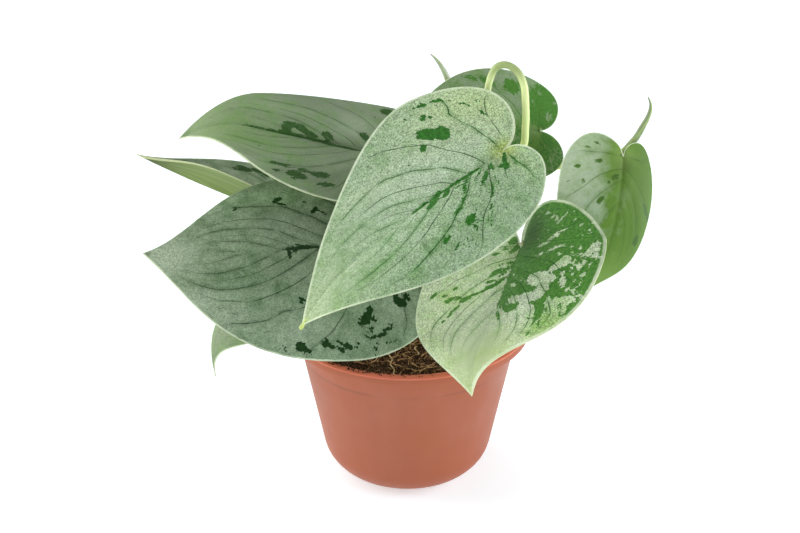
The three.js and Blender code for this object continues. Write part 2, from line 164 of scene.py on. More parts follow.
# A stem, and a stalk for each leaf: its route, then points under the blade in the blade's own
# (along, across, up from the upper face).
VINES = {
    "vine_left": dict(
        root=(-16, 8),
        stem=[(-16, 8, 78), (-17, 9, 90), (-16, 12, 98), (-12, 16, 107)],
        stalks={
            "leaf_low_tip": ([(-17, 9, 86), (-24, 10, 100), (-36, 12, 110)], (-10, 0, -5)),
            "leaf_left_edge": ([(-16, 11, 94), (-15, 24, 95), (-19, 36, 96)], (-10, 0, -6)),
            "leaf_high_left": ([(-14, 14, 102), (-4, 21, 118), (7, 27, 136)], (-10, 0, -6)),
        },
    ),
    "vine_middle": dict(
        root=(12, 10),
        stem=[
            (12, 10, 78), (13, 13, 92), (14, 22, 108), (15, 42, 122), (18, 64, 140), (22, 79, 155),
            (22, 83, 165),
        ],
        stalks={
            "leaf_low_left": ([(12, 10, 82), (13, 4, 96), (10, -1, 109)], (-9, 0, -6)),
            "leaf_front": (
                [
                    (13, 12, 89), (28, 13, 112), (44, 11, 142), (53, 4, 165), (54, 2, 178),
                    (53.6, 1.5, 188), (52.6, 3, 197), (49.5, 5, 203), (44.5, 7, 205.5), (40, 9, 203.5),
                    (37.7, 12, 197), (36.8, 15, 188), (37, 16, 178),
                ],
                (-2, -12, -9),
            ),
            "leaf_back": ([(14, 18, 103), (28, 36, 118), (46, 54, 128), (58, 65, 137)], (8, 4, -11)),
        },
    ),
    "vine_right": dict(
        root=(27, -3),
        stem=[
            (27, -3, 77), (28, 0, 85), (30, 7, 97), (36, 20, 112), (47, 36, 125), (60, 49, 133),
            (72, 56, 137), (82, 57, 139), (92, 53, 142), (99, 46, 146), (103, 40, 150),
        ],
        stalks={
            "leaf_right_front": ([(28, 0, 86), (40, -2, 104), (53, -8, 120)], (-9, 0, -6)),
            "leaf_right": ([(95, 50, 144), (101, 42, 144)], (1, 0, -8)),
        },
    ),
}
# A rolled leaf: the vine that it ends, its route from there, and the two colours of its bloom.
SPEARS = {
    "new_leaf_back": (
        "vine_middle",
        [(22, 84, 170), (21, 84, 176), (18, 85, 182), (15, 86, 186), (12, 86, 189)],
        ("#a9b29c", "#c4cbb9"),
    ),
    "new_leaf_right": (
        "vine_right",
        [
            (108, 38, 154), (112, 37, 160), (115, 37, 166), (117.5, 37, 172), (118, 37, 177),
            (116.5, 37, 181),
        ],
        ("#708055", "#8a9874"),
    ),
}

# ---- How finely things are made, and how much lies on the peat ----

POT_SIDES = 144
SOIL_SIDES = 160
SOIL_RINGS = 48
DRAIN_SIDES = 32
BLADE_GRID = {"x_subdivisions": 76, "y_subdivisions": 152}  # across the blade, and along it
ROLL_GRID = {"x_subdivisions": 56, "y_subdivisions": 60}  # round the roll, and up it
MARGIN_STEPS = 500
SAME_PLACE = 0.02
SKIN_VOXEL = 0.55
THICKNESS_LEVELS = 20
CRUMBS = 2600
SPILLED_CRUMBS = 120
SPILL_TURN = math.radians(-112)  # most of them lie on this side of the rim
SPILL_SPREAD = math.radians(26)
FIBRES = 420
CRUMB_SEED = 11
FIBRE_SEED = 23
VEINS = 13  # main veins that would leave the rib between the sinus and the tip
# Where each root lies on the peat.
ROOTS = {
    "bare_root": [
        (-9.4, -20), (-9, -26), (-7.4, -31), (-8.2, -35.5), (-6.4, -40), (-6.6, -45), (-5.2, -50.5),
    ],
    "root_thread": [(4, -17), (3.4, -22), (5.2, -26), (4.2, -30)],
}

# ---- How each leaf is marked ----

# silver: how silvery each half is, 0 to 1. gold: yellow-green glow at the tip and at the sinus.
# patches: (along, across, half length, half width, silver added or taken away), in mm from the sinus.
# A patch lies along the veins, or at the angle to the midrib that a sixth number gives.
# shades: soft parts, (along, across, half length, half width, paler or if negative greener, yellower,
# darker or if negative brighter, smoother), where the last numbers may be left out. Paler is partly a
# painted sheen; darker is painted shade, bar a few dull tips, and brighter is painted light.
# hem: how wide the pale margin of each half is.
MARKINGS = {
    "leaf_front": dict(
        silver=(0.93, 0.97), gold=(0.28, 0.9), hem=(0.7, 1.2),
        patches=[
            (14.5, -25.5, 3.2, 3.6, -1.3, -20), (19.5, -29, 5.5, 3, -1.3, -38),
            (26, -24.6, 2, 1.4, -1.2, 30), (37, -21, 3, 1.6, -0.45), (16, -38, 2.2, 1.4, -0.7, 25),
            (13, -36.5, 1, 0.8, -0.8),
            # Dashes along the veins of the big lobe.
            (-6, -22, 5, 0.7, -0.6, 95), (-3, -32, 4, 0.7, -0.6, -60), (-8, -30, 4, 0.6, -0.5, 110),
            (4, -41, 4, 0.7, -0.6, -35), (13, -44, 4, 0.9, -0.6, -10), (22, -42, 3, 0.8, -0.5, 5),
            (8, -34, 14, 9, -0.16, -30), (9, -44, 8, 1.5, -0.3, -20),
            # The other half, from the sinus on.
            (3.5, 5, 4, 1.1, -1.1, 58), (6.5, 7.5, 2.2, 1, -1.1, -35), (5, 9, 1.6, 1, -1, 60),
            (11, 6, 3.4, 0.7, -0.6, 50), (14.5, 6.5, 3, 1.3, -0.8, 50), (13, 12, 5, 0.7, -0.5, 58),
            (18, 15, 5, 0.8, -0.6, 50), (22, 12, 4, 0.7, -0.5, 45), (22, 2.4, 2.6, 0.8, -1, 40),
            (25.5, 5, 2.4, 0.8, -1, 45), (27.5, 3, 3, 0.6, -0.8, 20), (27, 7.5, 2, 0.6, -0.8, 20),
            (28, 10, 2, 0.6, -0.6, 45), (31, 11.5, 2.6, 0.8, -0.9, 40), (34, 14.5, 1.4, 0.7, -0.7, 30),
            (17, 8, 3, 0.6, -0.8, 55), (8, 12, 4, 0.6, -0.7, 65), (1, 9, 4, 0.6, -0.7, 85),
            (20, 6, 3, 0.7, -0.8, 50), (15, 2.5, 3, 0.7, -0.9, 35), (10, 3, 2.4, 0.7, -0.9, 45),
            (36, 14, 3, 0.8, -0.7, 35), (35, 21, 3, 1.8, -0.7), (33, 24, 4, 0.8, -0.5),
            (48, 22.3, 2.6, 1.2, -1), (46, 27, 3, 1, -0.5), (30, 19, 7, 0.7, -0.5),
            (27, 25, 7, 0.7, -0.45), (42, 18, 6, 0.6, -0.5), (38, 27, 10, 3, -0.2),
            (20, 22, 12, 8, -0.12),
            # Along the midrib.
            (17, 0.2, 3, 0.9, -1), (27, 0.2, 9, 0.9, -1.1), (39.5, 1.5, 5, 1.5, -1.4),
            (46, -0.4, 6, 0.8, -1), (33, 1.6, 4, 0.8, -1), (34, 3, 3, 0.8, -0.9, 15),
        ],
        shades=[
            (2, -34, 26, 14, 0.14, 0.3), (-10, -20, 10, 14, 0.1, 0.3), (32, -13, 34, 11, 0.2, 0),
            (108, -1, 12, 7, 0.2, 0.1, 0.08), (60, -24, 20, 5, 0.14, 0.1),
            (42, 26, 44, 8, -0.2, 0, 0.04), (16, 11, 16, 8, -0.14, 0, 0.06), (84, 12, 18, 6, -0.1, 0),
            (-2, 14, 6, 12, -0.1, 0.15), (4, 3, 7, 5, -0.2, 0, 0.2), (0, 0, 6, 6, 0, 0.2, 0.08),
            (2, -40, 14, 10, 0.1, 0.1, -0.08), (100, 4, 28, 26, 0, 0, 0, 0.45),
            (66, -14, 34, 16, 0, 0, 0, 0.3), (20, 36, 40, 12, 0, 0, 0, 0.25),
        ],
    ),
    "leaf_low_left": dict(
        silver=(0.95, 0.98), gold=(0.15, 0.1), hem=(0.8, 0.3),
        patches=[
            (28, 47, 2.6, 1.2, -1.1, -20), (31, 48.5, 1.6, 0.8, -1), (35.5, 46.5, 3, 1, -1.1, -15),
            (38, 44.8, 2.4, 0.9, -1.1), (32, 45, 1.4, 0.8, -0.9), (49, 46.2, 2.6, 2, -1.3, -10),
            (45, 48, 1.6, 0.9, -0.9), (10, 41.5, 3, 0.9, -1, 35), (14, 43.5, 3.4, 1, -1, 20),
            (17, 40.5, 2, 1, -1, 60), (7, 39, 1.6, 0.7, -0.8), (19, 44, 1.4, 0.8, -0.8),
            (18, 35.5, 3.2, 2.2, -1.1, 55), (16, 31.5, 1.6, 1.4, -1.1), (20.5, 38, 2, 0.9, -0.9, 60),
            (14.5, 36, 1.4, 0.8, -0.8), (1.5, 28.5, 3, 2, -1.2, -25), (-2, 26, 2, 1.4, -1),
            (3, 25.5, 2, 1, -0.9), (46.5, 26, 1.6, 1, -1.2), (41, 29.5, 2, 0.8, -0.6),
            (23, 47, 1.6, 0.7, -0.8), (8, 46, 3, 0.6, -0.6, 15), (44, -0.5, 10, 0.9, -1.2),
            (50, 3, 2.2, 1, -1, 90), (47, 2, 1.6, 1, -0.9), (56, 46, 2, 0.8, -0.8),
            (36, -21.5, 2.6, 1.1, -1.1, 60), (32, -20, 4, 0.8, -0.8), (53, -29, 3, 1.2, -1.1, 30),
            (40, -27, 1.2, 0.8, -0.8), (51, -26.5, 2.4, 0.7, -0.9), (73, -26, 2, 0.8, -0.8, 70),
            (15, 49, 3, 0.8, -0.7), (60, 0.8, 10, 0.5, -0.5),
        ],
        shades=[
            (106, 0, 14, 12, 0.32, 0), (88, 0, 14, 20, 0, 0, 0.02), (115, 0, 2, 4, -0.3, -0.9, 0.35),
            (44, -12, 14, 10, 0.16, 0), (45, 14, 9, 8, 0.1, 0), (48, 40, 14, 7, 0.14, 0, 0),
            (2, 30, 10, 10, 0.1, 0), (56, -31, 26, 6, -0.1, 0.05, -0.55),
            (66, 10, 18, 12, -0.14, 0, 0.04), (80, 30, 14, 6, 0.14, 0), (94, 22, 10, 5, 0.2, 0),
            (30, 44, 20, 6, 0, 0, 0.06),
        ],
    ),
    "leaf_high_left": dict(
        silver=(0.95, 0.96), gold=(0.4, 0.1), hem=(0.9, 0.25),
        patches=[
            (39, 33.5, 5, 1.2, -0.9, 10), (42, 28, 4.6, 1.9, -1.1, 5), (53, 31, 4.6, 2.4, -1.2, -10),
            (50, 27, 3, 1.2, -0.8, 0), (62, 30.5, 2.4, 1, -0.8), (62, 26, 4, 1.4, -0.7),
            (57, 26, 2.4, 1.2, -0.6),
            # Along the midrib.
            (37, 1.6, 14, 1.5, -1.2, -5), (60, -0.5, 9, 1, -1), (75, -0.3, 8, 0.7, -0.8),
            (41, -3.5, 3.4, 2.4, -0.9), (50, -3, 5, 1.8, -0.9), (55, -6, 4.4, 2, -0.8),
            (61, -4.5, 3, 3.2, -0.9), (23, -7.5, 3, 1.6, -1), (12, -30.5, 3.4, 4.2, -1.3, 80),
        ],
        shades=[
            (88, 4, 20, 16, -0.4, 0.1), (64, 14, 12, 8, -0.2, 0.05), (50, 30, 16, 7, 0, 0, 0.2),
            (22, 8, 16, 14, 0.08, 0, 0.05), (40, 1, 20, 4, 0, 0, 0.25), (28, -13, 10, 8, 0.15, 0),
            (46, -28, 30, 7, 0.1, 0, 0.24), (110, 0, 3, 5, -0.3, -0.9, 0.3),
            (55, 10, 30, 8, 0.03, 0, 0.05), (70, -20, 16, 8, -0.05, 0, -0.14), (80, 26, 14, 5, 0.15, 0),
            (40, 20, 14, 8, 0.05, 0),
        ],
    ),
    "leaf_left_edge": dict(
        silver=(0.9, 0.9), gold=(0.3, 0.1), hem=(0.6, 0.6),
        patches=[
            (56, -18, 4, 1.6, -1), (50, -20, 3, 1.2, -1), (46, -18, 4, 2, -0.5), (60, -16, 3, 1, -0.6),
        ],
        shades=[
            (106, 0, 20, 40, -0.3, -0.8, 0.6), (60, -20, 30, 9, -0.2, 0, 0.15),
            (72, 14, 20, 12, 0, 0, 0.1),
        ],
    ),
    "leaf_low_tip": dict(
        silver=(0.85, 0.85), gold=(0.3, 0.2), hem=(0.6, 0.6),
        patches=[(25, 8, 6, 2, -0.5), (30, -7, 5, 2, -0.5)],
        shades=[(66, 0, 10, 8, -0.3, 0.1, 0.2), (45, 14, 8, 5, -0.3, 0)],
    ),
    "leaf_right_front": dict(
        silver=(0.08, 0.97), gold=(0.55, 0.1), hem=(1.7, 0.9),
        patches=[
            # The green half's silver, from the lobe to the tip.
            (-12, 17.5, 3.4, 1.2, 0.55, -35), (-14, 14, 1.6, 2, 0.45), (-17, 10, 2, 1.2, 0.4, 60),
            (-5, 19, 3, 0.8, 0.65, -65), (-2, 16.5, 3.2, 0.8, 0.7, -60), (1, 13, 3.4, 0.9, 0.7, -55),
            (4.5, 20.5, 3.6, 1, 0.7, -75), (6.5, 17, 2, 0.8, 0.6, -75), (2.5, 10.5, 1.8, 0.8, 0.6),
            (8, 12.5, 1.6, 0.8, 0.6, -45), (5.5, 37.5, 2.8, 2.2, 1, 0), (8.5, 35.5, 2, 1.5, 0.9, 0),
            (9.5, 39, 2.4, 1.2, 0.7, 0), (13.6, 26, 3, 2.4, 1.2, 0), (16, 23, 3, 2, 1.2, -50),
            (18, 21, 1.8, 1.2, 0.9, 0), (14, 30, 1.4, 0.6, 0.7, 0), (22.6, 36, 1.3, 1.3, 1.1, 0),
            (20, 33, 1, 0.6, 0.7, 0), (31.5, 31.5, 2, 0.6, 0.7, 0), (26.5, 28, 3.4, 1.3, 1.2, 10),
            (21, 26.5, 1.4, 1, 0.9, 0), (24, 22, 3, 0.8, 0.8, 0), (72, 6, 16, 9, 0.95, 0),
            (11, 33.5, 1.2, 0.6, 0.7, 0), (31, 34.5, 1.4, 0.6, 0.7, 0), (17, 37.5, 1.2, 0.7, 0.8, 0),
            (23.2, 15.8, 4, 5, 1.3, 0), (26, 33, 1, 0.7, 0.8, 0), (30.5, 19.6, 5.4, 2.3, 1.2, 0),
            (35, 14.5, 3.2, 4.6, 1.2, 0), (29, 15.5, 2, 1.2, 0.6), (38, 33, 2.6, 4, 1, 0),
            (40, 28, 2.4, 1.8, 0.8, 0), (26, 4.2, 1.5, 1.1, 0.8), (23.5, 8, 1, 0.7, 0.6),
            (46, 14, 8, 6, 0.85), (52, 4, 12, 8, 0.9), (62, 14, 14, 12, 0.9), (50, 31, 9, 5, 0.85, 0),
            (57, 27, 7, 3, 0.7), (44, 17, 4, 2.4, 0.6), (12, 41.5, 14, 0.9, 0.6),
            (38, 25.5, 4, 3, 0.85, 0), (47, 27, 5, 3, 0.5, 0), (43.5, 32, 3, 2, 0.4, 0),
            (53, 23, 4, 3, 0.45, 0), (35.5, 7.5, 2.6, 2.6, 0.9, 0), (16.5, 33.5, 2.5, 2, 0.5, 0),
            (36, 40, 12, 0.9, 0.6), (53, 36, 8, 1.6, 0.7), (-14, 31, 8, 0.9, 0.5, 35),
            # Green left between them.
            (42, 35.5, 3, 0.9, -0.9, 0), (44, 31.5, 4.6, 0.8, -1, 15), (48, 18, 2.4, 0.9, -1, 55),
            (43, 22.3, 9, 1.2, -1.3, 0), (56, 21.5, 4, 0.8, -0.8, 0), (49, 27, 4, 0.8, -0.9, 0),
            (56, 25, 3, 0.7, -0.8, 0), (41, 7.5, 2.6, 2.6, -0.9), (55, 31, 3, 0.7, -0.9, 10),
            (49, 34, 3, 0.7, -0.8, 0), (52, 24.5, 3, 0.7, -0.8, 0), (38, 16.5, 1.4, 0.8, -0.9, 50),
            (45, 2.6, 3.4, 0.8, -1), (33, 26.5, 4.4, 1.6, -0.8, 0), (30, 12.5, 1.5, 3, -1.1, 0),
            (18.4, 16, 0.9, 4, -0.8, 0), (2, 4, 12, 3.4, -0.6, 0),
            # Fine silver flecks near the margin.
            (-4, 33, 1.1, 0.7, 0.7, 0), (0, 30, 0.9, 0.6, 0.7, 0), (-8, 28, 1, 0.6, 0.7, 0),
            (15, 35, 1.1, 0.8, 0.7, 0), (18, 30, 1.2, 0.7, 0.8, 0), (22, 31.5, 1, 0.7, 0.7, 0),
            (28, 36, 1.2, 0.8, 0.8, 0), (-12, 24, 1.4, 0.6, 0.7, -40), (5, 27, 1, 0.6, 0.7, 0),
            (9, 22, 1.6, 0.7, 0.8, -60), (6, 31, 0.8, 0.6, 0.7, 0), (25, 23.5, 1.2, 0.7, 0.8, 0),
            # Green on the silver half.
            (-3, -4, 3, 2, -1.2, -50), (2, -2, 4, 1.4, -1.2, -30), (5, -11, 2, 1, -1.2, -80),
            (2, -7, 1.4, 0.8, -0.9, -50), (11, -2.2, 2, 0.7, -1), (15, -3, 3.6, 0.8, -1.1, -35),
            (15.5, -7, 2.8, 0.9, -1.1, -62), (18, -8, 2.6, 0.9, -1, -60), (18, -3.5, 3, 0.7, -1, -45),
            (22, -3.4, 3.4, 0.9, -1.1, -40), (22.5, -8, 2.6, 1, -1.1, -70),
            (25.5, -6.5, 4, 1.1, -1.2, -58), (27, -9, 1.8, 1, -1), (30.5, -13.5, 2, 1, -0.9, -60),
            (33.5, -17, 3, 1.6, -1.1, -50), (33, -22, 3, 1.2, -0.8, -85),
            (35, -25, 2.4, 1.6, -0.8, -75), (31.5, -28, 2, 1.2, -0.7, -60),
            (31.5, -33, 3, 1.2, -0.8, -15), (27, -24, 1.4, 1.1, -1), (40, -19.8, 3.4, 0.8, -1.1, -25),
            (44, -21, 2, 0.7, -0.9, -20), (48, -22.6, 1.4, 0.8, -1), (29, -11, 1.6, 0.7, -0.9),
            (12, -6, 2, 0.6, -0.8, -60),
        ],
        shades=[
            (0, -2, 9, 5, -0.3, 0, 0.25), (-9, 4, 14, 6, 0, 0, 0.55), (-8, 12, 14, 8, 0, 0, 0.14),
            (40, -14, 36, 20, 0, 0.08, -0.05, 0.4), (33, -22, 5, 10, -0.35, 0.2),
            (4, 8, 12, 6, 0, 0, 0.15), (76, 0, 22, 16, 0, 0, 0.14, 0.4), (8, -12, 8, 12, -0.1, 0, 0.18),
            (18, -2, 8, 4, 0, 0, 0.1), (44, -10, 22, 10, 0.2, 0, -0.16), (40, 11, 10, 7, 0.25, 0, -0.2),
            (24, 16, 8, 5, 0.1, 0, -0.1), (55, 29, 15, 7, -0.9, 0.1, 0.14),
            (66, 2, 14, 14, 0, 0, 0.14, 0.6), (46, -28, 14, 8, 0.1, 0.1, -0.1),
            (66, 8, 12, 9, -0.1, 0.2, 0), (12, 30, 20, 7, 0, 0.06, -0.1),
        ],
    ),
    "leaf_back": dict(
        silver=(0.4, 0.8), gold=(0.1, 0.3), hem=(0.4, 0.4),
        patches=[
            (-2, -14, 12, 8, -1), (-4, -8, 3, 2, 0.7), (0, -20, 2.4, 1.2, 0.7),
            (-7, -16, 1.8, 1.2, 0.7), (3, -15, 2, 1, 0.6), (14, -22, 4, 3.4, -0.9),
            (26, -24, 5, 2, -0.6), (34, -26, 4, 1.4, -0.5), (-3, 5, 4, 2, -0.5), (5, 6, 6, 5, 0.5),
            (50, -18, 5, 1.6, -0.9), (42, -12, 6, 1.4, -0.8), (60, -10, 4, 1.2, -0.8),
        ],
        shades=[
            (2, 8, 14, 12, -0.9, 0.05, 0.45), (4, -24, 8, 5, -0.3, 0), (50, -14, 24, 14, -0.45, 0, 0.2),
        ],
    ),
    "leaf_right": dict(
        silver=(0.95, 0.95), gold=(0.35, 0.5), hem=(0.4, 0.6),
        patches=[
            (11, -3.5, 2.2, 1.1, -0.8), (14, -6.5, 1.2, 0.8, -0.8), (23, -9, 2.4, 0.9, -0.9),
            (5, -12, 2.4, 0.9, -0.9), (10, -21, 1.5, 0.9, -1), (16, -18, 1.1, 1.2, -0.7),
            (0, -17, 1.5, 0.8, -0.6), (-3, -13, 1.5, 0.8, -0.6), (24, 17, 6, 1.1, -0.9),
            (38, 14, 3, 1.6, -0.8),
        ],
        shades=[
            # Plain green over the rib and the whole left half.
            (20, 14, 90, 14, -1.3, 0), (20, -3, 60, 5, -0.6, 0), (4, -6, 10, 8, -0.2, 0.1, 0.15),
            (18, 0, 30, 4, 0, 0, 0.08), (-6, -18, 8, 8, -0.2, 0.15), (60, 0, 12, 14, -0.5, 0.1),
            (24, 12, 44, 9, 0, 0, 0.3), (14, -20, 30, 12, 0.1, 0, -0.12), (4, 2, 5, 4, -0.4, 0, 0.3),
        ],
    ),
}

# Each blade's colours, partly its own and partly painted light and shade, for some blades are set
# darker or lighter as a whole: silver, silver with a painted sheen, the fresh green that comes through
# it, patch green, deep green, yellow-green; and how strong its satin grain with painted glints is.
COLOURS = {
    "leaf_front": ("#8ca482", "#a0b496", "#578344", "#3a7f29", "#173f11", "#9cb165", 0.95),
    "leaf_low_left": ("#758a6c", "#83977b", "#37592c", "#1e3f19", "#10280d", "#95a379", 0.6),
    "leaf_high_left": ("#6b7e5f", "#7c8b71", "#5d8540", "#3a5f2a", "#203f18", "#8b9d6e", 0.18),
    "leaf_left_edge": ("#8c9c84", "#a0ae96", "#4f7440", "#3d5c30", "#28451f", "#b4c294", 0.25),
    "leaf_low_tip": ("#728264", "#7f8c73", "#6a8a4c", "#5a7a40", "#4a6a36", "#818e61", 0.4),
    "leaf_right_front": ("#b0c2a2", "#cad8ba", "#86b35e", "#61993d", "#285e26", "#c3d68c", 0.9),
    "leaf_back": ("#7f9472", "#8f9f84", "#5a8733", "#528536", "#42712e", "#86a556", 0.3),
    "leaf_right": ("#94a68a", "#a2b398", "#5c7f32", "#4a6c2b", "#40622a", "#95b564", 0.12),
}

# ---- Where the camera and the lamps stand ----

CAMERA_AT = (-3.7, -543.8, 361.3)
CAMERA_TILT = 65  # degrees up from straight down
LENS = 56
SENSOR = 36
NEAREST_SEEN = 0.01  # metres
PAPER_SIZE = 60  # metres
LAMPS_LOOK_AT = Vector((0.0, 0.0, 0.1))
# Each lamp's place and size in metres, its power and its tint.
LAMPS = {
    "softbox_left": ((-1.4, 0.15, 0.5), 0.9, 17, "#fffefb"),
    "softbox_left_back": ((-1.0, 0.9, 0.9), 0.9, 10, "#fffefb"),
    "softbox_above": ((0.0, 0.35, 1.6), 1.0, 7, "#fffefb"),
    "softbox_right_front": ((1.2, -0.65, 0.85), 0.9, 9, "#fcfdff"),
    "softbox_right": ((1.4, 0.2, 0.45), 0.9, 12, "#fcfdff"),
    "low_fill": ((-0.1, -1.5, 0.45), 0.9, 7, "#fcfdff"),
}

# ---- Working in Blender ----


def pick(*pieces):
    """Selects these pieces alone. With none, nothing stays selected for the next operator to act on."""
    bpy.ops.object.select_all(action="DESELECT")
    for piece in pieces:
        piece.select_set(True)
        bpy.context.view_layer.objects.active = piece


def points_of(piece):
    """The piece's points in millimetres, one row each."""
    points = np.empty(3 * len(piece.data.vertices), np.float32)
    piece.data.vertices.foreach_get("co", points)
    return points.reshape(-1, 3).astype(float) / MM


def put_points(piece, points):
    """Moves the piece's points to these places, in millimetres."""
    piece.data.vertices.foreach_set("co", (np.asarray(points) * MM).astype(np.float32).ravel())
    piece.data.update()


def note(piece, name, *columns):
    """Writes three numbers at each point for the piece's material to read."""
    layer = piece.data.attributes.new(name, "FLOAT_VECTOR", "POINT")
    values = np.stack(np.broadcast_arrays(*columns), -1)
    layer.data.foreach_set("vector", values.astype(np.float32).ravel())


def apply_modifier(piece, kind, **settings):
    """Changes the piece's mesh by a modifier of this kind."""
    modifier = piece.modifiers.new(kind.title(), kind)
    for name, value in settings.items():
        setattr(modifier, name, value)
    pick(piece)
    bpy.ops.object.modifier_apply(modifier=modifier.name)


def dress(piece, *materials):
    """Gives the piece these materials alone."""
    piece.data.materials.clear()
    for material in materials:
        piece.data.materials.append(material)


def joined(pieces):
    """The pieces as one, named as the last of them."""
    pick(*pieces)
    bpy.ops.object.join()
    return bpy.context.object


def merge_points(piece):
    """Makes one of the points that lie in the same place."""
    pick(piece)
    bpy.ops.object.mode_set(mode="EDIT")
    bpy.ops.mesh.select_all(action="SELECT")
    bpy.ops.mesh.remove_doubles(threshold=SAME_PLACE * MM)
    bpy.ops.object.mode_set(mode="OBJECT")


def finish_piece(piece, name, nodes=(), smooth=40):
    """Names a finished piece, smooths it, and has it ride on the frame in place of its CAD nodes."""
    pick(piece)
    bpy.ops.object.shade_smooth_by_angle(angle=math.radians(smooth))
    piece.name = name
    piece.data.name = name
    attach(piece, "root")
    if nodes:
        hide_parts(*nodes)


def copies(model, name, transforms):
    """One mesh that holds a copy of the model for each transform (3 x 3 matrix, place)."""
    points = points_of(model)
    faces = [tuple(p.vertices) for p in model.data.polygons]
    all_points = np.concatenate([points @ matrix.T + place for matrix, place in transforms])
    all_faces = [
        tuple(v + i * len(points) for v in face) for i in range(len(transforms)) for face in faces
    ]
    mesh = bpy.data.meshes.new(name)
    mesh.from_pydata((all_points * MM).tolist(), [], all_faces)
    made = bpy.data.objects.new(name, mesh)
    bpy.context.scene.collection.objects.link(made)
    bpy.data.objects.remove(model)
    return made


def turned(profile, sides):
    """A closed solid turned round the Z axis: a circle is drawn up the profile of (radius, height)."""
    pick()
    radius, height = profile[0]
    bpy.ops.mesh.primitive_circle_add(vertices=sides, radius=radius * MM, location=(0, 0, height * MM))
    piece = bpy.context.object
    bpy.ops.object.transform_apply(location=True)
    bpy.ops.object.mode_set(mode="EDIT")
    bpy.ops.mesh.select_all(action="SELECT")
    for next_radius, next_height in profile[1:]:
        rise = (0, 0, (next_height - height) * MM)
        bpy.ops.mesh.extrude_region_move(TRANSFORM_OT_translate={"value": rise})
        grow = next_radius / radius
        bpy.ops.transform.resize(value=(grow, grow, 1), center_override=(0, 0, next_height * MM))
        radius, height = next_radius, next_height
    bpy.ops.mesh.select_all(action="SELECT")
    bpy.ops.mesh.fill_holes(sides=0)
    bpy.ops.mesh.select_all(action="SELECT")
    bpy.ops.mesh.normals_make_consistent(inside=False)
    bpy.ops.object.mode_set(mode="OBJECT")
    return piece


# ---- Colour and nodes ----


def colour(code):
    """An sRGB hex colour as linear red, green, blue and alpha."""
    shares = [int(code[i : i + 2], 16) / 255 for i in (1, 3, 5)]
    return [s / 12.92 if s <= 0.04045 else ((s + 0.055) / 1.055) ** 2.4 for s in shares] + [1]


def add_node(tree, kind, inputs=(), **settings):
    """Adds a shader node. Its inputs are given by socket, or as a list for the first sockets in turn.
    Each is a plain value, a hex colour, an output, or a node, for the first output it has in use."""
    node = tree.nodes.new("ShaderNode" + kind)
    for name, value in settings.items():
        setattr(node, name, value)
    for socket, value in inputs.items() if isinstance(inputs, dict) else enumerate(inputs):
        if isinstance(value, bpy.types.Node):
            value = next(output for output in value.outputs if output.enabled)
        if isinstance(value, bpy.types.NodeSocket):
            tree.links.new(value, node.inputs[socket])
        else:
            node.inputs[socket].default_value = colour(value) if isinstance(value, str) else value
    return node


def new_material(name):
    """A material without nodes, and the function that adds them to it."""
    material = bpy.data.materials.new(name)
    material.use_nodes = True
    material.node_tree.nodes.clear()
    return material, partial(add_node, material.node_tree)


# How a Mix node blends colours, its sockets for them and for numbers, and a MapRange that eases.
RGBA = {"data_type": "RGBA"}
FACTOR, FIRST, SECOND = 0, 6, 7
FIRST_NUMBER, SECOND_NUMBER = 2, 3
SMOOTH = {"interpolation_type": "SMOOTHSTEP"}


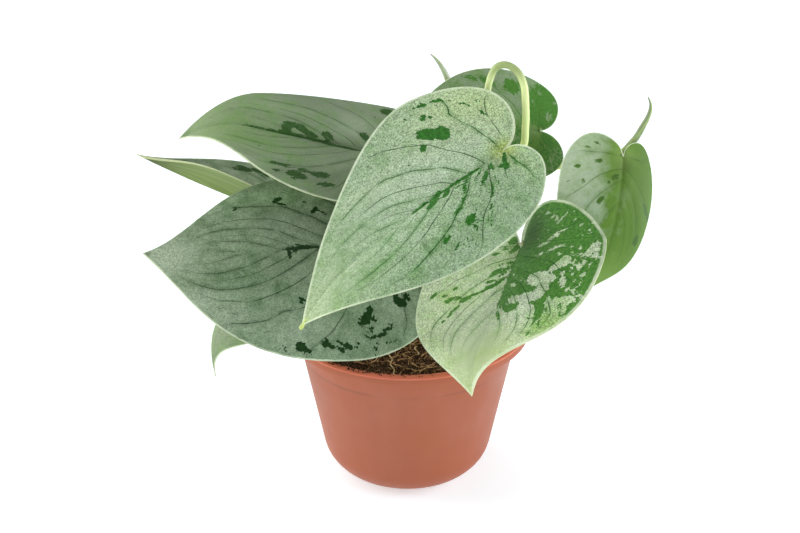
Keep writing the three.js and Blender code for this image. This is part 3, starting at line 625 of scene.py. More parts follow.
def moulded_polypropylene():
    """Injection-moulded polypropylene, the usual nursery pot: matt satin, faintly orange-peeled, with
    pale flow bands up the wall, painted light that makes the thin lip's top brighter and pinker, peat
    rubbed along the rim, and painted shade in a thin line along the collar."""
    material, add = new_material("moulded_polypropylene")
    place = add("TexCoord").outputs["Object"]
    height = add("SeparateXYZ", [place]).outputs["Z"]
    # Flow bands about 9 mm wide, ten times as tall, and cloudy differences some 25 mm across.
    tall = add("Mapping", {"Vector": place, "Scale": (1 / 9e-3, 1 / 9e-3, 1 / 90e-3)})
    bands = add("TexNoise", {"Vector": tall, "Scale": 1.0})
    cloud = add("TexNoise", {"Vector": place, "Scale": 1 / 25e-3, "Detail": 3.0})
    # The lip's thin top edge is painted brighter and pinker: painted light.
    lip = add("MapRange", [height, (POT_HEIGHT - 1.0) * MM, (POT_HEIGHT - 0.3) * MM, 0, 0.85], **SMOOTH)
    # Peat rubbed on in smears of 2 to 6 mm, on the top few millimetres alone, and dust inside the lip.
    smear = add("TexNoise", {"Vector": place, "Scale": 1 / 4e-3, "Detail": 4.0, "Roughness": 0.7})
    rubbed = add("MapRange", [smear, 0.62, 0.74, 0, 0.5])
    flat = add("VectorMath", [place, (1, 1, 0)], operation="MULTIPLY")
    radius = add("VectorMath", [flat], operation="LENGTH")
    inner = add("MapRange", [radius, (RIM_RADIUS - 1.6) * MM, (RIM_RADIUS - LIP_WIDTH) * MM])
    dust = add("Math", [smear, inner], operation="MULTIPLY", use_clamp=True)
    dusty = add("Math", [rubbed, dust], operation="MAXIMUM")
    at_rim = add("MapRange", [height, (POT_HEIGHT - 7) * MM, POT_HEIGHT * MM])
    dirt = add("Math", [dusty, at_rim], operation="MULTIPLY")
    # A thin darker line along the collar's step is painted shade. All of it lies thick in places and thin
    # in others.
    off_collar = add("Math", [height, COLLAR * MM], operation="SUBTRACT")
    from_collar = add("Math", [off_collar], operation="ABSOLUTE")
    line = add("MapRange", [from_collar, 0.3e-3, 1.1e-3, 0.5, 0])
    thick = add("MapRange", [cloud, 0.42, 0.6, 0.15, 0.8])
    patchy = add("Math", [dirt, thick], operation="MULTIPLY")
    collar = add("Math", [line, thick], operation="MULTIPLY")
    # Rubbed peat on the rim, and the painted shade along the collar.
    peat_and_painted_shade = add("Math", [patchy, collar], operation="MAXIMUM")
    body = add("Mix", {FACTOR: bands, FIRST: "#944a2d", SECOND: "#a55a3b"}, **RGBA)
    for cover, tint in ((cloud, "#9e5232"), (lip, "#d9755a"), (peat_and_painted_shade, "#5b3826")):
        body = add("Mix", {FACTOR: cover, FIRST: body, SECOND: tint}, **RGBA)
    # Orange peel, drawn at 0.8 mm so that it shows.
    peel = add("TexNoise", {"Vector": place, "Scale": 1 / 0.8e-3})
    relief = add("Bump", {"Height": peel, "Strength": 0.12, "Distance": 0.2e-3})
    gloss = add("MapRange", [cloud, 0.3, 0.7, 0.42, 0.56])
    finish = {"Roughness": gloss, "Normal": relief, "IOR": 1.49, "Specular IOR Level": 0.38}
    add("OutputMaterial", {"Surface": add("BsdfPrincipled", {"Base Color": body, **finish})})
    return material


def damp_peat():
    """Sieved peat with bark dust, damp: hollows painted nearly black, which is painted shade over the
    peat's own dark brown, brown crumbs and a few pale ones, matt.
    """
    material, add = new_material("damp_peat")
    place = add("TexCoord").outputs["Object"]
    # Crumbs 0.9 mm across over grains of 0.5 mm.
    crumbs = add("TexVoronoi", {"Vector": place, "Scale": 1 / 0.9e-3})
    grains = add("TexNoise", {"Vector": place, "Scale": 1 / 0.5e-3, "Detail": 3.0, "Roughness": 0.7})
    # The low parts of the grains, which the bump also sinks, are painted nearly black: painted shade in the
    # hollows.
    share = add("MapRange", [grains, 0.42, 0.62])
    brown = add("Mix", {FACTOR: share, FIRST: "#0c0603", SECOND: "#684425"}, **RGBA)
    # Every crumb has its own tone.
    tone = add("SeparateColor", [crumbs.outputs["Color"]])
    flecks = add("Math", [tone, 0.4, grains], operation="MULTIPLY_ADD")
    pale = add("MapRange", [flecks, 0.84, 0.96])
    mixed = add("Mix", {FACTOR: pale, FIRST: brown, SECOND: "#c39c6c"}, **RGBA)
    deep = add("Math", [grains, crumbs.outputs["Distance"]], operation="SUBTRACT")
    relief = add("Bump", {"Height": deep, "Strength": 0.9, "Distance": 0.8e-3})
    finish = {"Roughness": 0.93, "Normal": relief, "Specular IOR Level": 0.25}
    add("OutputMaterial", {"Surface": add("BsdfPrincipled", {"Base Color": mixed, **finish})})
    return material


def dry_fibre(name, low, high):
    """Root hairs and coarse peat fibres, dry: pale straw brown, streaked, matt."""
    material, add = new_material(name)
    place = add("TexCoord").outputs["Object"]
    streak = add("TexNoise", {"Vector": place, "Scale": 1 / 2.2e-3})
    share = add("MapRange", [streak, 0.35, 0.65])
    straw = add("Mix", {FACTOR: share, FIRST: low, SECOND: high}, **RGBA)
    relief = add("Bump", {"Height": streak, "Strength": 0.4, "Distance": 0.2e-3})
    skin = add("BsdfPrincipled", {"Base Color": straw, "Roughness": 0.8, "Normal": relief})
    add("OutputMaterial", {"Surface": skin})
    return material


def stalk_skin():
    """The smooth skin of a pothos stem and leaf stalk: yellow-green and lightly waxy, paler towards the
    blade and greener low down, with fine lengthwise streaks."""
    material, add = new_material("stalk_skin")
    run = add("Attribute", attribute_name="run").outputs["Vector"]
    near_blade = add("SeparateXYZ", [run]).outputs["Z"]
    height = add("SeparateXYZ", [add("TexCoord").outputs["Object"]]).outputs["Z"]
    # Streaks 0.5 mm wide and 12 mm long: the attribute holds millimetres along and round.
    long = add("Mapping", {"Vector": run, "Scale": (1 / 12, 1 / 0.5, 1.0)})
    streak = add("TexNoise", {"Vector": long, "Scale": 1.0})
    share = add("MapRange", [streak, 0.3, 0.7])
    low = add("MapRange", [height, 76e-3, 172e-3, 0.65, 0])
    # The bend over the tallest leaf is dull olive.
    bend = add("MapRange", [height, 196e-3, 205e-3, 0, 0.7], **SMOOTH)
    body = add("Mix", {FACTOR: share, FIRST: "#dcee74", SECOND: "#f2fba6"}, **RGBA)
    for cover, tint in ((near_blade, "#c6d3a4"), (low, "#6f8a3a"), (bend, "#75894a")):
        body = add("Mix", {FACTOR: cover, FIRST: body, SECOND: tint}, **RGBA)
    relief = add("Bump", {"Height": streak, "Strength": 0.25, "Distance": 0.15e-3})
    skin = add("BsdfPrincipled", {"Base Color": body, "Roughness": 0.42, "Normal": relief, "IOR": 1.42})
    add("OutputMaterial", {"Surface": skin})
    return material


def vein_lines(add, number, gap, count, width, fade):
    """A mask of thin lines along the veins: count to each main one, width in mm, times the fade."""
    phase = add("Math", [number, count, 0.5 - 0.5 * count], operation="MULTIPLY_ADD")
    cycle = add("Math", [phase], operation="FRACT")
    centred = add("Math", [cycle, 0.5], operation="SUBTRACT")
    away = add("Math", [centred], operation="ABSOLUTE")
    share = add("Math", [gap, count], operation="DIVIDE")
    distance = add("Math", [away, share], operation="MULTIPLY")
    line = add("MapRange", [distance, width, 0.2 * width], **SMOOTH)
    return add("Math", [line, fade], operation="MULTIPLY")


def streaks(add, along, number, gap, length, width):
    """Noise drawn out along the veins, length by width in mm. The veins fan out, so the noise is finer
    by twos where they are further apart, and one fineness passes smoothly into the next."""
    spread = add("Math", [gap, width], operation="DIVIDE")
    level = add("Math", [spread, 2.0], operation="LOGARITHM")
    whole = add("Math", [level], operation="FLOOR")
    rest = add("Math", [level, whole], operation="SUBTRACT")
    run = add("Math", [along, length], operation="DIVIDE")
    made = []
    for more in (0.0, 1.0):
        power = add("Math", [whole, more], operation="ADD")
        times = add("Math", [2.0, power], operation="POWER")
        over = add("Math", [number, times], operation="MULTIPLY")
        grid = add("CombineXYZ", [run, over])
        made.append(add("TexNoise", {"Vector": grid, "Scale": 1.0, "Detail": 3.0, "Roughness": 0.6}))
    return add("Mix", {FACTOR: rest, FIRST_NUMBER: made[0], SECOND_NUMBER: made[1]})


def satin_leaf(name, silver, painted_sheen_silver, fresh, green, deep, gold, grain):
    """A satin pothos blade from above: silver where the skin lies loose over the green, which shows as
    streaks drawn out along the veins, with thin dark veins, a green cast that comes and goes, paler
    frosted parts that also carry a painted sheen, painted shade and painted light in parts, a painted
    sheen in bands on the silver, and a fine satin grain with painted glints."""
    material, add = new_material(name)
    vein, tone, place, own = (
        add("Attribute", attribute_name=noted).outputs["Vector"]
        for noted in ("vein", "tone", "place", "skin")
    )
    silvery, yellower, paler = add("SeparateXYZ", [tone]).outputs
    # The skin attribute's middle number is painted shade, negative for painted light.
    hem_width, dark, smooth = add("SeparateXYZ", [own]).outputs
    along, vein_number, gap = add("SeparateXYZ", [vein]).outputs
    edge = add("SeparateXYZ", [place]).outputs["Z"]
    flat = add("VectorMath", [place, (1, 1, 0)], operation="MULTIPLY")

    # The veins waver by up to a quarter of their spacing every 20 mm or so.
    waver = add("TexNoise", {"Vector": flat, "Scale": 1 / 20, "Detail": 1.5})
    off = add("Math", [waver, 0.5, -0.25], operation="MULTIPLY_ADD")
    number = add("Math", [vein_number, off], operation="ADD")

    # Patches end in ragged streaks 1.2 mm wide and 6 mm long. Smoother leaves have softer patches.
    ragged = streaks(add, along, number, gap, 6.0, 1.2)
    spotted = add("TexNoise", {"Vector": flat, "Scale": 1 / 1.5, "Detail": 3.0, "Roughness": 0.6})
    shift = add("Math", [ragged, 2.2, -1.1], operation="MULTIPLY_ADD")
    spots = add("Math", [spotted, 1.1, -0.55], operation="MULTIPLY_ADD")
    shifted = add("Math", [shift, spots], operation="ADD")
    level = add("Math", [silvery, shifted], operation="ADD")
    blur = 0.08 + 0.16 * (1 - grain) ** 2
    silvered = add("MapRange", [level, 0.47 - blur, 0.47 + blur], **SMOOTH)

    # Broad lighter and darker bands between the veins, 2 to 5 mm wide and some 25 mm long: plain silver
    # and silver with a painted sheen.
    bands = streaks(add, along, number, gap, 25.0, 3.5)
    band = add("MapRange", [bands, 0.35, 0.65])
    silver_skin = add("Mix", {FACTOR: band, FIRST: silver, SECOND: painted_sheen_silver}, **RGBA)
    # Silver comes and goes: a green cast in clouds 8 mm across and in streaks beside the veins.
    cloud = add("TexNoise", {"Vector": flat, "Scale": 1 / 8, "Detail": 4.0, "Roughness": 0.6})
    streaked = add("Math", [bands, 0.6, cloud], operation="MULTIPLY_ADD")
    clouds = add("MapRange", [streaked, 0.74, 0.96, 0, 0.5])
    cast = add("Math", [clouds, paler], operation="SUBTRACT", use_clamp=True)
    casted = add("Mix", {FACTOR: cast, FIRST: silver_skin, SECOND: fresh}, **RGBA)
    clouded = add("MapRange", [spotted, 0.35, 0.65, 0.2, 0.8])
    green_skin = add("Mix", {FACTOR: clouded, FIRST: deep, SECOND: green}, **RGBA)
    skin = add("Mix", {FACTOR: silvered, FIRST: green_skin, SECOND: casted}, **RGBA)
    # Frosted parts are paler and greyer, partly a painted sheen, and some parts glow yellower.
    frost_and_painted_sheen = add("Math", [paler, silvered], operation="MULTIPLY", use_clamp=True)
    gilt = add("Math", [yellower, silvered], operation="MULTIPLY")

    # Veins: dark threads 0.5 mm wide in a soft green cast, drawn where noise lets them show, fading
    # towards the margin and, all but every second one, where they crowd together.
    inner = add("MapRange", [edge, 1.5, 7.0])
    showing = add("TexNoise", {"Vector": flat, "Scale": 1 / 9})
    seen = add("MapRange", [showing, 0.32, 0.52, 0.3, 1])
    clear = add("Math", [seen, inner], operation="MULTIPLY")
    bold = add("MapRange", [smooth, 0, 0.8, 0.5 + 0.5 * grain, 0.45])
    strong = add("Math", [clear, bold], operation="MULTIPLY")
    roomy = add("MapRange", [gap, 3.0, 6.0])
    some_room = add("MapRange", [gap, 1.5, 3.5, 0, 0.8])
    all_fade = add("Math", [strong, roomy], operation="MULTIPLY")
    few_fade = add("Math", [strong, some_room], operation="MULTIPLY")
    every = vein_lines(add, number, gap, 1.0, 0.38, all_fade)
    second = vein_lines(add, number, gap, 0.5, 0.42, few_fade)
    halo = vein_lines(add, number, gap, 0.5, 2.0, few_fade)
    # Broken dark dashes between them.
    rare = add("Math", [showing, 0.5, ragged], operation="MULTIPLY_ADD")
    dashes = add("MapRange", [rare, 0.92, 1, 0, 0.65])
    main = add("Math", [every, second], operation="MAXIMUM")
    lines = add("Math", [main, dashes], operation="MAXIMUM")
    soft = add("Math", [halo, 0.42], operation="MULTIPLY")
    for cover, tint in ((frost_and_painted_sheen, "#ccd6c4"), (gilt, gold), (soft, green), (lines, deep)):
        skin = add("Mix", {FACTOR: cover, FIRST: skin, SECOND: tint}, **RGBA)

    # Satin grain: cells each of their own brightness, painted glints drawn 0.4 mm wide so that they show,
    # over uneven grain of the same width and a 3 mm mottle.
    cells = add("TexNoise", {"Vector": flat, "Scale": 1 / 0.45, "Roughness": 0.75})
    facets = add("TexVoronoi", {"Vector": flat, "Scale": 1 / 0.42})
    painted_glint = add("SeparateColor", [facets.outputs["Color"]])
    mottle = add("TexNoise", {"Vector": flat, "Scale": 1 / 2.8})
    coarse = add("Math", [mottle, 0.25], operation="MULTIPLY")
    uneven = add("Math", [cells, 0.6, coarse], operation="MULTIPLY_ADD")
    both = add("Math", [painted_glint, 0.55, uneven], operation="MULTIPLY_ADD")
    grainy = add("MapRange", [both, 0.25, 1.15, 1 - 0.85 * grain, 1 + 0.85 * grain])
    # It is quieter in the green and in smooth parts, and painted shade darkens some parts while painted
    # light brightens others.
    quiet = add("MapRange", [silvered, 0.2, 0.8, 0.8, 0])
    calm = add("Math", [quiet, smooth], operation="MAXIMUM", use_clamp=True)
    amount = add("Mix", {FACTOR: calm, FIRST_NUMBER: grainy, SECOND_NUMBER: 1.0})
    painted_lighting = add("Math", [1.02, dark], operation="SUBTRACT")
    dimmed = add("Math", [amount, painted_lighting], operation="MULTIPLY")
    bright = add("CombineXYZ", [dimmed] * 3)
    skin = add("Mix", {FACTOR: 1.0, FIRST: skin, SECOND: bright}, blend_type="MULTIPLY", **RGBA)

    # The margin is a clear pale line of the attribute's width that thins out here and there.
    kept = add("MapRange", [showing, 0.3, 0.6, 0.35, 0.85])
    ratio = add("Math", [edge, hem_width], operation="DIVIDE")
    wavy = add("Math", [spotted, 0.8, ratio], operation="MULTIPLY_ADD")
    rim = add("MapRange", [wavy, 1.45, 1], **SMOOTH)
    hem = add("Math", [rim, kept], operation="MULTIPLY")
    skin = add("Mix", {FACTOR: hem, FIRST: skin, SECOND: "#d2dec0"}, **RGBA)

    sunk = add("Math", [lines, -1.2, cells], operation="MULTIPLY_ADD")
    relief = add("Bump", {"Height": sunk, "Strength": 0.4, "Distance": 0.25e-3})
    gloss = add("MapRange", [silvered, 0, 1, 0.4, 0.5])
    finish = {"Roughness": gloss, "Normal": relief, "IOR": 1.42, "Specular IOR Level": 0.15}
    add("OutputMaterial", {"Surface": add("BsdfPrincipled", {"Base Color": skin, **finish})})
    return material


def leaf_underside():
    """The blade from below: paler and yellower than above, matt, with raised veins."""
    material, add = new_material("leaf_underside")
    vein, place, own = (
        add("Attribute", attribute_name=noted).outputs["Vector"] for noted in ("vein", "place", "skin")
    )
    along, number, gap = add("SeparateXYZ", [vein]).outputs
    edge = add("SeparateXYZ", [place]).outputs["Z"]
    flat = add("VectorMath", [place, (1, 1, 0)], operation="MULTIPLY")
    bands = streaks(add, along, number, gap, 25.0, 3.5)
    band = add("MapRange", [bands, 0.3, 0.7])
    body = add("Mix", {FACTOR: band, FIRST: "#73873f", SECOND: "#7d9150"}, **RGBA)
    seen = add("MapRange", [bands, 0.3, 0.6, 0.1, 0.4])
    main = vein_lines(add, number, gap, 0.5, 0.7, seen)
    veined = add("Mix", {FACTOR: main, FIRST: body, SECOND: "#98a96a"}, **RGBA)
    # Painted shade, and painted light where it is negative, as above.
    dark = add("SeparateXYZ", [own]).outputs["Y"]
    painted_lighting = add("Math", [1.0, dark], operation="SUBTRACT")
    bright = add("CombineXYZ", [painted_lighting] * 3)
    dimmed = add("Mix", {FACTOR: 1.0, FIRST: veined, SECOND: bright}, blend_type="MULTIPLY", **RGBA)
    hem = add("MapRange", [edge, 1.3, 0.6, 0, 0.8], **SMOOTH)
    hemmed = add("Mix", {FACTOR: hem, FIRST: dimmed, SECOND: "#c3ca98"}, **RGBA)
    grain = add("TexNoise", {"Vector": flat, "Scale": 1 / 0.8})
    raised = add("Math", [main, 1.5, grain], operation="MULTIPLY_ADD")
    relief = add("Bump", {"Height": raised, "Strength": 0.4, "Distance": 0.25e-3})
    leaf = add("BsdfPrincipled", {"Base Color": hemmed, "Roughness": 0.6, "Normal": relief, "IOR": 1.4})
    add("OutputMaterial", {"Surface": leaf})
    return material


def leaf_hem():
    """The blade's cut edge: clear tissue without green, cream and slightly mottled."""
    material, add = new_material("leaf_hem")
    place = add("Attribute", attribute_name="place").outputs["Vector"]
    mottle = add("TexNoise", {"Vector": place, "Scale": 1 / 3})
    share = add("MapRange", [mottle, 0.3, 0.7])
    body = add("Mix", {FACTOR: share, FIRST: "#b3bd8c", SECOND: "#ccd3ac"}, **RGBA)
    edge = add("BsdfPrincipled", {"Base Color": body, "Roughness": 0.5, "IOR": 1.4})
    add("OutputMaterial", {"Surface": edge})
    return material


def rolled_leaf(name, low, high):
    """A young blade still rolled up: pale grey-green bloom with green showing along the seam."""
    material, add = new_material(name)
    run = add("Attribute", attribute_name="run").outputs["Vector"]
    seam = add("SeparateXYZ", [run]).outputs["Z"]
    # Streaks 0.6 mm wide and 8 mm long.
    drawn = add("Mapping", {"Vector": run, "Scale": (1 / 8, 1 / 0.6, 1.0)})
    streak = add("TexNoise", {"Vector": drawn, "Scale": 1.0})
    share = add("MapRange", [streak, 0.35, 0.65])
    body = add("Mix", {FACTOR: share, FIRST: low, SECOND: high}, **RGBA)
    fresh = add("Mix", {FACTOR: seam, FIRST: body, SECOND: "#a2bb62"}, **RGBA)
    relief = add("Bump", {"Height": streak, "Strength": 0.3, "Distance": 0.15e-3})
    skin = add("BsdfPrincipled", {"Base Color": fresh, "Roughness": 0.5, "Normal": relief})
    add("OutputMaterial", {"Surface": skin})
    return material


def paper_sweep():
    """White background paper that glows a little, so that only a faint contact shadow shows."""
    material, add = new_material("paper_sweep")
    place = add("TexCoord").outputs["Object"]
    tooth = add("TexNoise", {"Vector": place, "Scale": 1 / 2e-3})
    relief = add("Bump", {"Height": tooth, "Strength": 0.05, "Distance": 0.1e-3})
    paper = add("BsdfDiffuse", {"Color": "#dfebf2", "Normal": relief})
    # Beyond the lamps' reach it glows more, so that it stays white into the distance.
    reach = add("VectorMath", [place], operation="LENGTH")
    lit = add("MapRange", [reach, 0.8, 2.5, 0.45, 1])
    glow = add("Emission", {"Color": "#ffffff", "Strength": lit})
    add("OutputMaterial", {"Surface": add("AddShader", [paper, glow])})
    return material


# ---- Pot ----


def rounded_edge(radius, steps):
    """The rounded bottom edge, from the floor up to the wall, as (radius, height)."""
    turns = [WALL_TILT * i / steps for i in range(steps + 1)]
    return [(FOOT_RADIUS + radius * math.sin(t), EDGE_ROUNDING - radius * math.cos(t)) for t in turns]


def wall_radius(z):
    """The radius of the wall's outer face at a height."""
    return CONE_BASE_RADIUS + z / math.tan(WALL_TILT)


def round_axis(turn, reach):
    """The place on the floor at this turn and reach from the pot's axis, in metres."""
    return Vector((math.cos(turn), math.sin(turn), 0)) * reach * MM


def make_pot():
    """The hollow pot with its lip, its drain holes and the shallow notches in its base's edge."""
    under_lip = POT_HEIGHT - LIP_DEPTH
    lip_inner = RIM_RADIUS - LIP_WIDTH
    outside = rounded_edge(EDGE_ROUNDING, 10) + [
        (wall_radius(COLLAR) - COLLAR_STEP, COLLAR),
        (wall_radius(COLLAR), COLLAR + COLLAR_STEP),
        (WALL_TOP_RADIUS, under_lip - 1),
        # Out under the lip, up its side, and over its rounded top edge.
        (RIM_RADIUS - 1.2, under_lip + 0.6),
        (RIM_RADIUS - 0.35, under_lip + 0.95),
        (RIM_RADIUS, under_lip + 1.8),
        (RIM_RADIUS, POT_HEIGHT - 0.8),
        (RIM_RADIUS - 0.23, POT_HEIGHT - 0.23),
        (RIM_RADIUS - 0.8, POT_HEIGHT),
    ]
    inside = [
        (lip_inner + 0.6, POT_HEIGHT),
        (lip_inner + 0.17, POT_HEIGHT - 0.17),
        (lip_inner, POT_HEIGHT - 0.6),
        (WALL_TOP_RADIUS - WALL_THIN, under_lip - 2),
    ]
    pot = turned(outside + inside + rounded_edge(EDGE_ROUNDING - WALL_THICK, 8)[::-1], POT_SIDES)
    cutters = []
    for i in range(DRAIN_HOLES):
        place = round_axis((i + 0.5) / DRAIN_HOLES * TURN, DRAIN_CIRCLE)
        pick()
        bpy.ops.mesh.primitive_cylinder_add(
            vertices=DRAIN_SIDES, radius=DRAIN_RADIUS * MM, depth=4 * WALL_THICK * MM, location=place
        )
        cutters.append(bpy.context.object)
    for i in range(NOTCHES):
        turn = FIRST_NOTCH + i / NOTCHES * TURN
        # Each cutter starts a millimetre inside the flat of the foot and ends beyond the wall.
        place = round_axis(turn, FOOT_RADIUS - 1 + CONE_BASE_RADIUS / 2)
        pick()
        bpy.ops.mesh.primitive_cube_add(size=1, location=place, rotation=(0, 0, turn))
        cutter = bpy.context.object
        cutter.scale = (CONE_BASE_RADIUS * MM, NOTCH_WIDTH * MM, 2 * NOTCH_HEIGHT * MM)
        cutters.append(cutter)
    cutter = joined(cutters)
    apply_modifier(pot, "BOOLEAN", object=cutter, operation="DIFFERENCE", solver="EXACT")
    bpy.data.objects.remove(cutter)
    dress(pot, moulded_polypropylene())
    finish_piece(pot, "nursery_pot", ["pot"], smooth=35)


# ---- Peat ----


def lumps(x, y):
    """The soil's broad lumps, as in the CAD source."""
    coarse = np.sin(x * 0.21 + 1.3) * np.cos(y * 0.18 - 0.4)
    fine = np.sin(x * 0.53 - y * 0.37) * np.sin(y * 0.61 + 0.9)
    return SOIL_LUMP * (0.6 * coarse + 0.4 * fine)


def crumble(x, y):
    """Small ups and downs of the peat, about a millimetre high and 5 mm across."""
    return 1.1 * noise.fractal(Vector((x / 5, y / 5, 0)), 0.9, 2.2, 4)


def soil_height(x, y):
    """The height of the peat, which levels out towards the pot's wall."""
    inside = 1 - min(1, math.hypot(x, y) / (SOIL_RADIUS + SOIL_EDGE)) ** 6
    return SOIL_LEVEL + (float(lumps(x, y)) + 0.8 * crumble(x, y)) * inside


def make_soil():
    """The root ball that fills the pot, with its lumpy top."""
    side = rounded_edge(EDGE_ROUNDING - WALL_THICK - SEAT_GAP, 5)
    top = [(SOIL_RADIUS * (1 - i / SOIL_RINGS), SOIL_LEVEL) for i in range(SOIL_RINGS)]
    soil = turned(side + top, SOIL_SIDES)
    points = points_of(soil)
    for point in points:
        if point[2] > SOIL_LEVEL - 0.01:
            point[2] = soil_height(point[0], point[1])
    put_points(soil, points)
    dress(soil, damp_peat())
    finish_piece(soil, "peat", ["soil"], smooth=60)


def spots_on_soil(chance, count, clear_of_rim):
    """Random places on the peat, clear of the rim."""
    for _ in range(count):
        radius = (SOIL_RADIUS - clear_of_rim) * math.sqrt(chance.random())
        turn = chance.random() * TURN
        x, y = radius * math.cos(turn), radius * math.sin(turn)
        yield x, y, soil_height(x, y)


def random_turn(chance, tip=math.pi):
    """A random turn as a matrix: any turn round Z, after one of up to the tip each way round X and Y."""
    tilt = [chance.uniform(-tip, tip) for _ in range(2)]
    return np.array(Euler((*tilt, chance.random() * TURN)).to_matrix())


def make_crumbs():
    """Loose crumbs of peat and bark, each a rough 20-sided lump. Those on the peat are 0.6 to 2.6 mm
    across, and those spilled on the rim 0.35 to 0.9 mm."""
    chance = random.Random(CRUMB_SEED)
    pick()
    bpy.ops.mesh.primitive_ico_sphere_add(subdivisions=1, radius=0.5 * MM)
    crumb = bpy.context.object
    rough = points_of(crumb)
    for point in rough:
        point *= chance.uniform(0.75, 1.25)
    put_points(crumb, rough)
    transforms = []
    for x, y, z in spots_on_soil(chance, CRUMBS, 1.5):
        size = chance.choice([0.7, 0.9, 1.1, 1.5, 2.2]) * chance.uniform(0.8, 1.2)
        shape = np.diag([size, size * chance.uniform(0.6, 1), size * chance.uniform(0.5, 0.9)])
        transforms.append((random_turn(chance) @ shape, np.array([x, y, z + 0.15 * size])))
    # The spilled ones lie along the rim's inner edge.
    for _ in range(SPILLED_CRUMBS):
        turn = chance.gauss(SPILL_TURN, SPILL_SPREAD)
        radius = RIM_RADIUS - LIP_WIDTH + 0.5 + 2.4 * chance.random() ** 2
        size = chance.uniform(0.35, 0.9)
        place = np.array([radius * math.cos(turn), radius * math.sin(turn), POT_HEIGHT + 0.3 * size])
        transforms.append((random_turn(chance) * size, place))
    crumbs = copies(crumb, "peat_crumbs", transforms)
    dress(crumbs, damp_peat())
    finish_piece(crumbs, "peat_crumbs", smooth=20)


def make_fibres():
    """Coarse fibres lying in the peat: bent threads 4 to 11 mm long."""
    chance = random.Random(FIBRE_SEED)
    # One thread of length 1, with its radii: each copy is as long as chance has it.
    bent = [(-0.5, 0, 0), (-0.25, 0.07, 0.03), (0, 0.1, 0.02), (0.25, 0.04, 0.05), (0.5, -0.08, 0)]
    thread = tube(bent, [0.012, 0.024, 0.026, 0.022, 0.01], 1)
    transforms = []
    for x, y, z in spots_on_soil(chance, FIBRES, 8):
        length = chance.uniform(4, 11)
        transforms.append((random_turn(chance, 0.25) * length, np.array([x, y, z + 0.5])))
    fibres = copies(thread, "peat_fibres", transforms)
    dress(fibres, dry_fibre("coarse_peat_fibre", "#8c6234", "#d0a87a"))
    finish_piece(fibres, "peat_fibres")


def make_roots(skin):
    """Pale roots that lie bare on the peat, each thinner towards its end."""
    for name, spots in ROOTS.items():
        places = smooth_route([(x, y, soil_height(x, y) + ROOT_LIFT) for x, y in spots])
        root = tube(places, np.linspace(*ROOT_RADII, len(places)), 3)
        dress(root, skin)
        finish_piece(root, name)


# ---- Curved pieces ----


def smooth_route(points, step=1.0):
    """A smooth curve through the points, as places about a step apart."""
    rows = [np.array(p, float) for p in points]
    rows = [2 * rows[0] - rows[1]] + rows + [2 * rows[-1] - rows[-2]]
    places = []
    for a, b, c, d in zip(rows, rows[1:], rows[2:], rows[3:]):
        count = max(2, int(np.linalg.norm(c - b) / step))
        for i in range(count):
            t = i / count
            straight = 2 * b + (c - a) * t
            squared = (2 * a - 5 * b + 4 * c - d) * t**2
            cubed = (3 * b - a - 3 * c + d) * t**3
            places.append(0.5 * (straight + squared + cubed))
    places.append(rows[-2])
    return places


def lengths_along(path):
    """How far along the path each of its places is."""
    return np.concatenate([[0], np.cumsum(np.linalg.norm(np.diff(path, axis=0), axis=1))])


def tube(places, radii, resolution=4):
    """A tube with flat caps along the places, with a radius at each."""
    pick()
    bpy.ops.curve.primitive_nurbs_path_add()
    path = bpy.context.object
    path.location = (0, 0, 0)
    curve = path.data
    curve.splines.clear()
    spline = curve.splines.new("POLY")
    spline.points.add(len(places) - 1)
    for point, place, radius in zip(spline.points, places, radii):
        point.co = (*(Vector(place) * MM), 1)
        point.radius = radius
    curve.bevel_depth = MM
    curve.bevel_resolution = resolution
    curve.use_fill_caps = True
    bpy.ops.object.convert(target="MESH")
    return bpy.context.object


def turn_of(leaf):
    """The blade's directions: heading turns round +Z, pitch lifts the tip, roll lifts the left half."""
    angles = [math.radians(a) for a in (leaf["roll"], -leaf["pitch"], leaf["heading"])]
    return np.array(Euler(angles, "XYZ").to_matrix())


def blade_point(leaf, along, across, up):
    """A point in the blade's own directions, up counted from its upper face."""
    height = float(blade_height(leaf, np.array([along]), np.array([across]))[0])
    return turn_of(leaf) @ np.array([along, across, height + up]) + np.array(leaf["sinus"])


def stalk_end(leaf, start):
    """Where a stalk ends under the midrib. The more it leans, the further it stops short of the face,
    so that its edge doesn't come through."""
    heights = blade_height(leaf, np.array([SEAT_AT, SEAT_AT + 1.0]), np.zeros(2))
    normal = np.array([-(heights[1] - heights[0]), 0, 1])
    normal = turn_of(leaf) @ (normal / np.linalg.norm(normal))
    face = blade_point(leaf, SEAT_AT, 0, -BLADE_THICKNESS)
    way = (face - start) / np.linalg.norm(face - start)
    lean = math.sqrt(1 - float(way @ normal) ** 2)
    return face - normal * (0.5 * lean * STALK_RADIUS)


